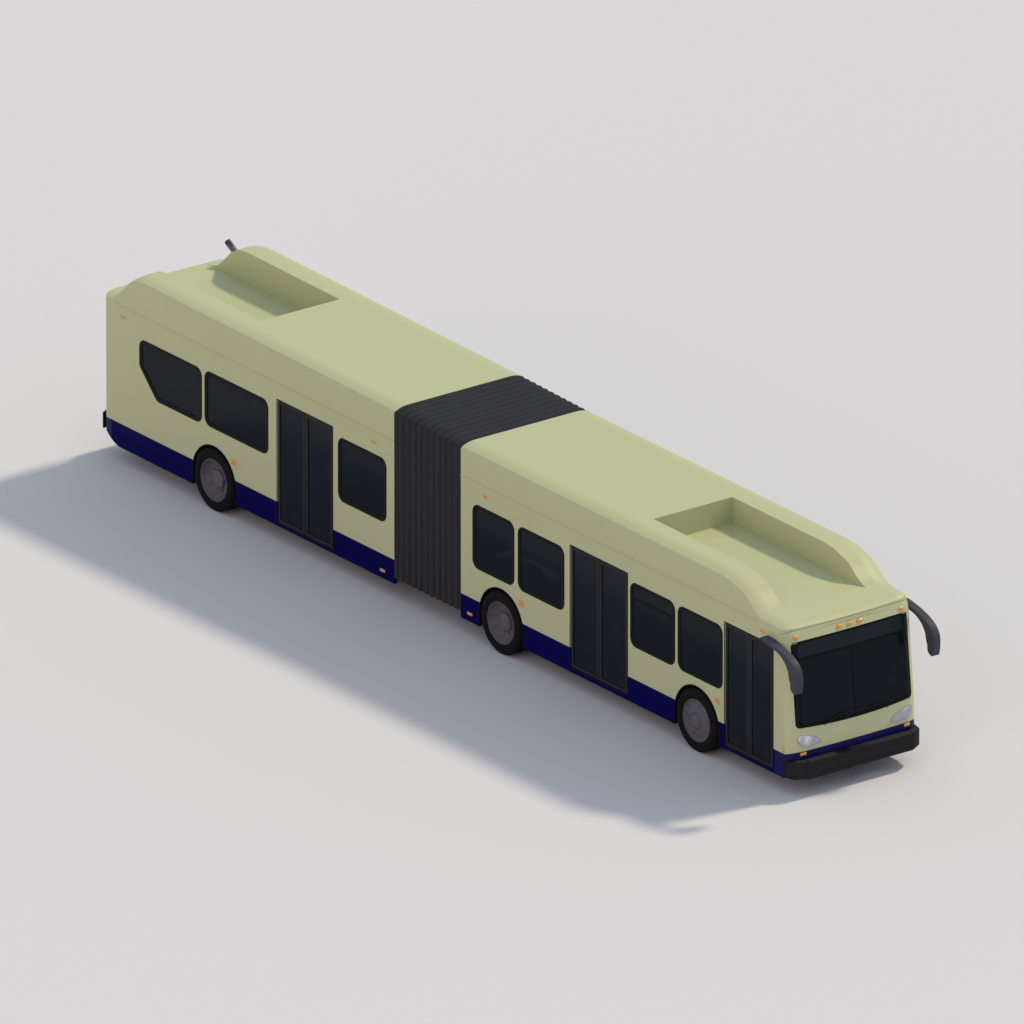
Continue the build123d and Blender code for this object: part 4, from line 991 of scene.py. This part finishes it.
def hand_holes(radius, out, turn):
    """Presses ten rounded pockets into the disc between rim and hub."""
    from_hole = (turn * hand_hole_count / (2 * math.pi) + 0.5) % 1 - 0.5
    aside = from_hole * 2 * math.pi / hand_hole_count / hole_half_turn
    away = aside ** 4 + ((radius - hole_ring) / hole_half_radius) ** 4
    face = (np.roll(out, 1, 0) > -0.05) & (radius < 0.33) & (radius > 0.19) & (out > -0.03)
    return radius, out - hole_depth * np.exp(-away ** 2) * face


def nuts(station, side, centre, ring, out):
    """Nuts standing in a circle on the disc: a hexagon carried outward, smaller towards its crown."""
    y = side * (centre + out + np.array([0, 0.016, 0.021, 0.0225]))
    hexagon = round_profile(0.016, 6)
    paths = [[(x, reach, z) for reach in y] for x, z in disc(station, tyre_radius, ring, nut_count)]
    return [carried(hexagon, path, (0, 0, 1), swell=[1, 1, 0.8, 0.4]) for path in paths]


tyre_rubber = Finish("tyre_rubber")
dust = tyre_rubber.noise(0.15, 5)
grain = tyre_rubber.noise(0.003, 2)
tyre_rubber.paint(
    Base_Color=tyre_rubber.mix(dust * 0.5, srgb(15, 14, 15), srgb(30, 28, 27)), Roughness=0.8,
    Specular_IOR_Level=0.12, Normal=tyre_rubber.bump(grain, 0.0005)
)
rim_wear = srgb(64, 58, 54)
rim_paint = plain_finish("rim_paint", srgb(92, 92, 98), 0.45, 0.004, 0.0002, 0.25, 0.0, 0.10, rim_wear)
nut_steel = plain_finish("nut_steel", srgb(104, 104, 108), 0.4, 0.003, 0.0001, 0.4, 0.6)
for word, side in (("right", -1), ("left", 1)):
    for axle, station in axles.items():
        if axle == "front":
            centres, many = [tyre_y], ""
            discs = [wheel_rows(front_disc, station, side, tyre_y, disc_steps, hand_holes)]
            nut_ring, nut_foot = 0.133, 0.133
        else:
            centres, many = [tyre_y, tyre_y - twin_pitch], "s"
            discs = [wheel_rows(twin_disc, station, side, centres[0], disc_steps, hand_holes),
                     wheel_rows(inner_disc, station, side, centres[1], 96)]
            nut_ring, nut_foot = 0.195, -0.013
        body, tyre, rim = f"{axle}_wheel_{word}", f"{axle}_tyre{many}_{word}", f"{axle}_rim{many}_{word}"
        treads = [wheel_rows(tyre_outline, station, side, centre, tread_steps, tread) for centre in centres]
        shown(skin(f"{tyre}_tread", *treads), tyre_rubber.material, body, [tyre])
        shown(skin(f"{axle}_disc{many}_{word}", *discs), rim_paint, body, [rim])
        wheel_nuts = nuts(station, side, tyre_y, nut_ring, nut_foot)
        shown(skin(f"{axle}_nuts_{word}", *wheel_nuts), nut_steel, body)

# Wheel arches: a dark rubber lip lines each cut-out in the side.
# It runs straight down from the axle's height to the skirt's lower edge and is clipped to the panel.
arch_radius, skirt_low, lip_y = 0.585, 0.283, half_width - 0.027
arch_turn = np.linspace(0, math.pi, 49)
arch_x = np.concatenate([[arch_radius], arch_radius * np.cos(arch_turn), [-arch_radius]])
arch_z = np.concatenate([[skirt_low], tyre_radius + arch_radius * np.sin(arch_turn), [skirt_low]])
for body, names in ((front, ("front", "middle")), (rear, ("rear",))):
    paths = [np.stack([axles[name] + arch_x, np.full(len(arch_x), side * lip_y), arch_z], 1)
             for name in names for side in both]
    lips = [carried(block_profile(0.012, 0.066), path, (0, 1, 0)) for path in paths]
    shown(skin(f"{body}_arch_lips", *lips), black_rubber, body)

# Seats: moulded shells two places wide with padded cushions in a woven cover, each on a painted pedestal.
# The driver's seat stands alone on its pillar. A grab handle crowns each back.
seat_shell = plain_finish("seat_shell", srgb(46, 56, 92), 0.4, 0.002, 0.0002, 0.35)
seat_width, seat_deep, driver_width = 0.86, 0.43, 0.48
wall_gap = 0.08  # from the wall's outside to the seat
left_y, right_y = half_width - wall_gap - seat_width, wall_gap - half_width
low_floor, platform = 0.39, 0.85
# Each seat's place: x at its back, y at its right side, then its floor's height and its width.
front_seats = [(pivot + 2.865, left_y), (pivot + 3.595, left_y), (pivot + 4.325, left_y),
               (nose - 4.714, left_y), (nose - 3.984, left_y),
               (pivot + 2.865, right_y), (nose - 4.204, right_y)]
rear_low_seats = [(pivot - 1.835, left_y), (pivot - 2.585, left_y), (pivot - 3.335, left_y),
                  (pivot - 1.835, right_y)]
rear_high_seats = [(tail + x, y) for x in (3.904, 1.854) for y in (left_y, right_y)]
driver_seat = (nose - 1.454, 0.52, low_floor, driver_width)
seat_places = {
    front: [(*place, low_floor, seat_width) for place in front_seats] + [driver_seat],
    rear: [(*place, low_floor, seat_width) for place in rear_low_seats]
    + [(*place, platform, seat_width) for place in rear_high_seats],
}
shell_line = np.array([
    (0.395, 0.395), (0.420, 0.408), (0.414, 0.424), (0.380, 0.432), (0.200, 0.418), (0.085, 0.424),
    (0.040, 0.470), (0.026, 0.560), (0.018, 0.800), (0.012, 1.020), (0.022, 1.062), (0.010, 1.074),
    (-0.006, 1.060), (-0.006, 0.800), (0.002, 0.540), (0.018, 0.430), (0.060, 0.392), (0.200, 0.385)
])


def places_on(width):
    """How many people a seat holds: two, or only the driver."""
    return 1 if width == driver_width else 2


def seat_body(x, y, z, width):
    """The shell's side outline carried across the seat.

    It dips a little in the middle of each place and rounds off at both sides, where its points draw in."""
    across = np.linspace(0, 1, 25)
    dip = 0.014 * np.sin(math.pi * places_on(width) * across)[:, None] ** 2
    end = np.clip(np.minimum(across, 1 - across) * width / 0.02, 0, 1)
    shrink = np.sqrt(end * (2 - end))
    middle = shell_line.mean(0)
    outline = middle + (shell_line - middle) * (0.93 + 0.07 * shrink)[:, None, None]
    low = outline[..., 1] < 0.45
    points_x = x + outline[..., 0] - dip * (1 - low) * 0.5
    points_y = np.broadcast_to(y + across[:, None] * width, low.shape)
    return with_ends(np.stack([points_x, points_y, z + outline[..., 1] - dip * low], 2))


def pedestal(x, y, z, width):
    """A tapered square post under the middle of the seat, with a foot plate."""
    heights = (0.001, 0.012, 0.014, 0.06, 0.36, 0.40)
    foot = [(x + seat_deep / 2, y + width / 2, z + height) for height in heights]
    return carried(block_profile(0.12, 0.12, 0.3), foot, (1, 0, 0), swell=[1.5, 1.5, 0.95, 0.85, 0.75, 1.3])


def pad(middle, deep_axis, out_axis, deep, wide, thick):
    """A crowned cushion with a sewn channel across its middle and a flat back.

    Over two parameters from edge to edge its height is thick times (1 - u^4)(1 - v^4) to the power 0.4."""
    u = np.sin(np.linspace(-math.pi / 2, math.pi / 2, 17))[:, None]
    v = np.sin(np.linspace(-math.pi / 2, math.pi / 2, 33))[None]
    crown = ((1 - u ** 4) * (1 - v ** 4)) ** 0.4 * (1 - 0.30 * np.exp(-(u / 0.10) ** 2))
    edge = 1 - 0.06 * (u ** 2) * (v ** 2)
    deep_axis, out_axis = np.array(deep_axis, float), np.array(out_axis, float)
    across = np.array([0, 1, 0])
    flat = middle + (u * edge * deep / 2)[..., None] * deep_axis + (v * edge * wide / 2)[..., None] * across
    top = flat + (crown * thick)[..., None] * out_axis
    return np.concatenate([top, flat[:, ::-1]], 1)


seat_cloth = Finish("seat_cloth")
warp, weft = seat_cloth.waves("Y", 160), seat_cloth.waves("X", 160)
fleck = seat_cloth.ramp(seat_cloth.noise(0.012, 1), 0.56, 0.62)
woven = seat_cloth.mix(warp * weft, srgb(38, 46, 78), srgb(58, 68, 108))
seat_cloth.paint(
    Base_Color=seat_cloth.mix(fleck * 0.6, woven, srgb(150, 120, 66)), Roughness=0.9,
    Specular_IOR_Level=0.15, Normal=seat_cloth.bump(warp + weft, 0.0008)
)
for body, node in ((front, "front_seats"), (rear, "rear_seats")):
    shells = [seat_body(*place) for place in seat_places[body]]
    posts = [pedestal(*place) for place in seat_places[body]]
    cushions, handles = [], []
    for x, y, z, width in seat_places[body]:
        share = width / places_on(width)
        wide = share - 0.05
        for i in range(places_on(width)):
            at_y = y + share * (i + 0.5)
            cushions.append(pad((x + 0.235, at_y, z + 0.405), (0.995, 0, 0.03), (0, 0, 1), 0.34, wide, 0.055))
            cushions.append(pad((x + 0.016, at_y, z + 0.76), (-0.02, 0, 0.99), (1, 0, 0), 0.50, wide, 0.050))
        low_y, high_y = y + 0.08, y + width - 0.08
        ends = [(x + 0.005, low_y, z + 1.05), (x - 0.002, low_y, z + 1.105),
                (x - 0.002, high_y, z + 1.105), (x + 0.005, high_y, z + 1.05)]
        bow = rounded(ends, 0.03, 4)[5:-5]  # without the two arcs that would join its feet
        handles.append(carried(round_profile(0.012, 10), bow, (1, 0, 0)))
    shown(skin(f"{body}_seat_shells", *shells), seat_shell, body, [node])
    shown(skin(f"{body}_seat_posts", *posts), grey_rim, body)
    shown(skin(f"{body}_seat_handles", *handles), steel_rail, body)
    covers = shown(skin(f"{body}_seat_cushions", *cushions), seat_cloth.material, body, (), 50)

# Handrails: steel tubes from floor to ceiling beside the doors and the seats, and two level rails.
# They are bolted at both ends; the gangway has none, because it turns.
post_high, rail_z, rail_y = 2.56, 2.0, 0.34
rail_posts = {
    front: [(pivot + 3.35, -0.42, low_floor), (pivot + 2.40, 0.33, low_floor),
            (nose - 5.0, -0.40, low_floor), (nose - 3.30, 0.33, low_floor),
            (nose - 2.35, -0.42, low_floor), (nose - 4.3, 0.33, low_floor)],
    rear: [(pivot - 2.45, -0.42, low_floor), (pivot - 4.08, -0.36, low_floor),
           (pivot - 1.30, 0.33, low_floor), (tail + 4.36, 0.33, platform),
           (tail + 3.0, -0.33, platform), (tail + 3.0, 0.33, platform)],
}
spans = {front: (pivot + 1.2, nose - 2.2), rear: (tail + 2.0, pivot - 1.2)}
tube = round_profile(0.016, 14)
for body in (front, rear):
    tubes = []
    for x, y, z in rail_posts[body]:
        heights = (z + 0.001, z + 0.012, z + 0.014, post_high)
        path = [(x, y, height) for height in heights]
        tubes.append(carried(tube, path, (1, 0, 0), swell=[2.2, 2.2, 1, 1]))
    tubes += [carried(tube, [(x, y, rail_z) for x in spans[body]], (0, 0, 1)) for y in (-rail_y, rail_y)]
    shown(skin(f"{body}_handrails", *tubes), steel_rail, body)

# Ceiling: three rows of white moulded panels with two rows of lights under them, hung under the roof.
# The panels stop short of the bellows and of both ends.
ceiling_white = plain_finish("ceiling_panel", srgb(206, 206, 200), 0.6, 0.01, 0.0002, 0.3, 0.0, 0.03)
light_cover = plain_finish("light_cover", srgb(236, 236, 230), 0.35, 0.01, 0.0002, 0.3, 0.0, 0.02)
panel_z, light_z = 2.60, 2.584
panel, cover = block_profile(0.62, 0.012), block_profile(0.10, 0.03, 0.4)
for body in (front, rear):
    low_x, high_x = spans[body]
    panels = [carried(panel, [(low_x, y, panel_z), (high_x, y, panel_z)], (0, 0, 1))
              for y in (-0.66, 0, 0.66)]
    shown(skin(f"{body}_ceiling", *panels), ceiling_white, body)
    covers = [carried(cover, [(low_x + 0.05, y, light_z), (high_x - 0.05, y, light_z)], (0, 0, 1))
              for y in (-0.5, 0.5)]
    shown(skin(f"{body}_ceiling_lights", *covers), light_cover, body)

# Dashboard: a grained plastic housing with a sloping top, dials on its back, and the steering wheel.
# The wheel leans towards the driver on its column; three spokes carry the rim from the boss.
dash_plastic = plain_finish("dash_plastic", srgb(34, 35, 38), 0.65, 0.003, 0.0006, 0.2)
dash_back, dash_front = nose - 0.734, nose - 0.364
dash_right, dash_left = 0.12, 1.16
dash_line = np.array([
    (dash_back, 0.40), (dash_front, 0.40), (dash_front, 0.98), (dash_front - 0.03, 1.03),
    (dash_front - 0.14, 1.055), (dash_back + 0.09, 1.058), (dash_back + 0.05, 1.04),
    (dash_back + 0.03, 0.94), (dash_back + 0.015, 0.90), (dash_back, 0.86)
])
# The outline is a little smaller at both ends, so that the housing's edges are rounded off.
dash_path = [(dash_right + 0.003, 0.97), (dash_right + 0.02, 1.0), (0.6, 1.0), (dash_left - 0.02, 1.0),
             (dash_left - 0.003, 0.97)]
dash_middle = dash_line.mean(0)
dash_rows = np.stack([np.insert(dash_middle + (dash_line - dash_middle) * share, 1, y, axis=1)
                      for y, share in dash_path])
wheel_middle, wheel_tilt = np.array([nose - 0.924, 0.73, 1.08]), math.radians(30)
wheel_up = np.array([-math.sin(wheel_tilt), 0, math.cos(wheel_tilt)])
wheel_ahead = np.array([math.cos(wheel_tilt), 0, math.sin(wheel_tilt)])
wheel_across = np.array([0, 1, 0])
circle = round_profile(0.225, 64)
wheel_ring = wheel_middle + circle[:, :1] * wheel_ahead + circle[:, 1:] * wheel_across
wheel_parts = [carried(round_profile(0.015, 12), wheel_ring, wheel_up, ring=True)]
for spoke in (wheel_across, -wheel_across, -wheel_ahead):
    path = [wheel_middle, wheel_middle + 0.218 * spoke]
    wheel_parts.append(carried(block_profile(0.035, 0.014, 0.4), path, wheel_up))
boss = wheel_middle + np.array([-0.03, -0.02, 0.012, 0.018])[:, None] * wheel_up
wheel_parts.append(carried(round_profile(0.045, 24), boss, wheel_across, swell=[0.8, 1, 1, 0.8]))
column = wheel_middle - np.array([0.0, 0.12, 0.30, 0.40])[:, None] * wheel_up
wheel_parts.append(carried(round_profile(0.032, 20), column, wheel_across, swell=[1, 1, 1.2, 1.4]))
shown(skin("dashboard_housing", with_ends(dash_rows)), dash_plastic, front, ["dashboard"])
shown(skin("steering_wheel", *wheel_parts), black_rubber, front)
dial_face = plain_finish("dial_face", srgb(16, 18, 22), 0.2, 0.01, 0.0001, 0.4)
dials = []
for y, radius in ((0.62, 0.05), (0.74, 0.05), (0.85, 0.035)):
    place = np.array([dash_back + 0.027, y, 0.965])
    path = place + np.array([0.01, -0.004, -0.006])[:, None] * np.array([0.96, 0, -0.2])
    dials.append(carried(round_profile(radius, 24), path, wheel_across, swell=[1, 1, 0.9]))
shown(skin("dials", *dials), dial_face, front)

# Exhaust: a steel pipe that comes out of the roof's rear left corner and leans back over the tail.
# It has an elbow, a clamp ring above that, and an open mouth that is scorched.
exhaust_steel = Finish("exhaust_steel")
scorch = exhaust_steel.ramp(exhaust_steel.axis("Z") + exhaust_steel.noise(0.05, 4) * 0.08, 3.18, 3.26)
streaks = exhaust_steel.noise(0.03, 4, (1, 1, 0.2))
metal = exhaust_steel.mix(streaks, srgb(92, 94, 104), srgb(126, 128, 138))
exhaust_steel.paint(
    Base_Color=exhaust_steel.mix(scorch, metal, srgb(44, 40, 40)), Roughness=0.42 + streaks * 0.15,
    Metallic=0.6 - scorch * 0.4, Normal=exhaust_steel.bump(streaks, 0.0003)
)
pipe_radius, pipe_wall, pipe_sides, bend_radius = 0.054, 0.005, 28, 0.09
pipe_foot, corner = 1.432, np.array([tail + 0.714, half_width - 0.245, 3.061])
lean = math.radians(62)
back = np.array([-math.sin(lean), 0, math.cos(lean)])
bend = np.linspace(0, lean, 9)
bend_foot = corner[2] - bend_radius * math.tan(lean / 2)
elbow = np.stack([corner[0] - bend_radius * (1 - np.cos(bend)), np.full(len(bend), corner[1]),
                  bend_foot + bend_radius * np.sin(bend)], 1)
tip = corner + back * 0.344
line = np.vstack([[(*corner[:2], pipe_foot)], elbow, spread(elbow[-1] + back * 0.02, tip, 5)])
outer, inner = (round_profile(radius, pipe_sides) for radius in (pipe_radius, pipe_radius - pipe_wall))
outside = carried(outer, line, (0, 1, 0))[:-1]
inside = carried(inner, [tip, tip - back * 0.15], (0, 1, 0))[1:]
exhaust = skin("exhaust_tube", np.concatenate([outside, inside]))
shown(exhaust, exhaust_steel.material, rear, ["exhaust_pipe"])
clamp_line = [elbow[-1] + back * run for run in (0.03, 0.035, 0.05, 0.055)]
clamp_ring = round_profile(pipe_radius + 0.004, pipe_sides)
clamp = carried(clamp_ring, clamp_line, (0, 1, 0), swell=[0.97, 1, 1, 0.97])
shown(skin("exhaust_clamp", clamp), nut_steel, rear)

# Underside: the floors in worn vinyl with light chips, the axles and the turntable in chassis paint,
# and the cast engine block. They are the frame's own parts with softened edges.
chassis_black, rust = srgb(44, 44, 47), srgb(70, 58, 48)
chassis_paint = plain_finish("chassis_paint", chassis_black, 0.55, 0.006, 0.0005, 0.25, 0.0, 0.12, rust)
iron_grey, oil = srgb(92, 94, 96), srgb(52, 44, 38)
engine_iron = plain_finish("engine_iron", iron_grey, 0.6, 0.004, 0.0008, 0.3, 0.3, 0.15, oil)
vinyl = Finish("floor_vinyl")
speck = vinyl.cells(0.006)
chips = vinyl.ramp(speck, 0.30, 0.22)
worn = vinyl.noise(0.7, 4)
vinyl_grey = vinyl.mix(worn, srgb(66, 68, 74), srgb(84, 86, 92))
vinyl.paint(
    Base_Color=vinyl.mix(chips * 0.7, vinyl_grey, srgb(150, 152, 156)),
    Roughness=0.6 + worn * 0.15, Specular_IOR_Level=0.2, Normal=vinyl.bump(speck, 0.0003)
)
cast_edge = 0.006
for node, body in (("front_floor", front), ("rear_floor", rear)):
    softened(shown(panel_of(node), vinyl.material, body, [node]), cast_edge)
for node, body in (("turntable_front", front), ("turntable_rear", rear), ("front_axle_beam", front),
                   ("middle_axle", front), ("knuckle_right", "right_knuckle"),
                   ("knuckle_left", "left_knuckle"), ("drive_axle", rear)):
    softened(shown(panel_of(node), chassis_paint, body, [node]), cast_edge)
softened(shown(panel_of("engine"), engine_iron, rear, ["engine"]), 0.03, 3)
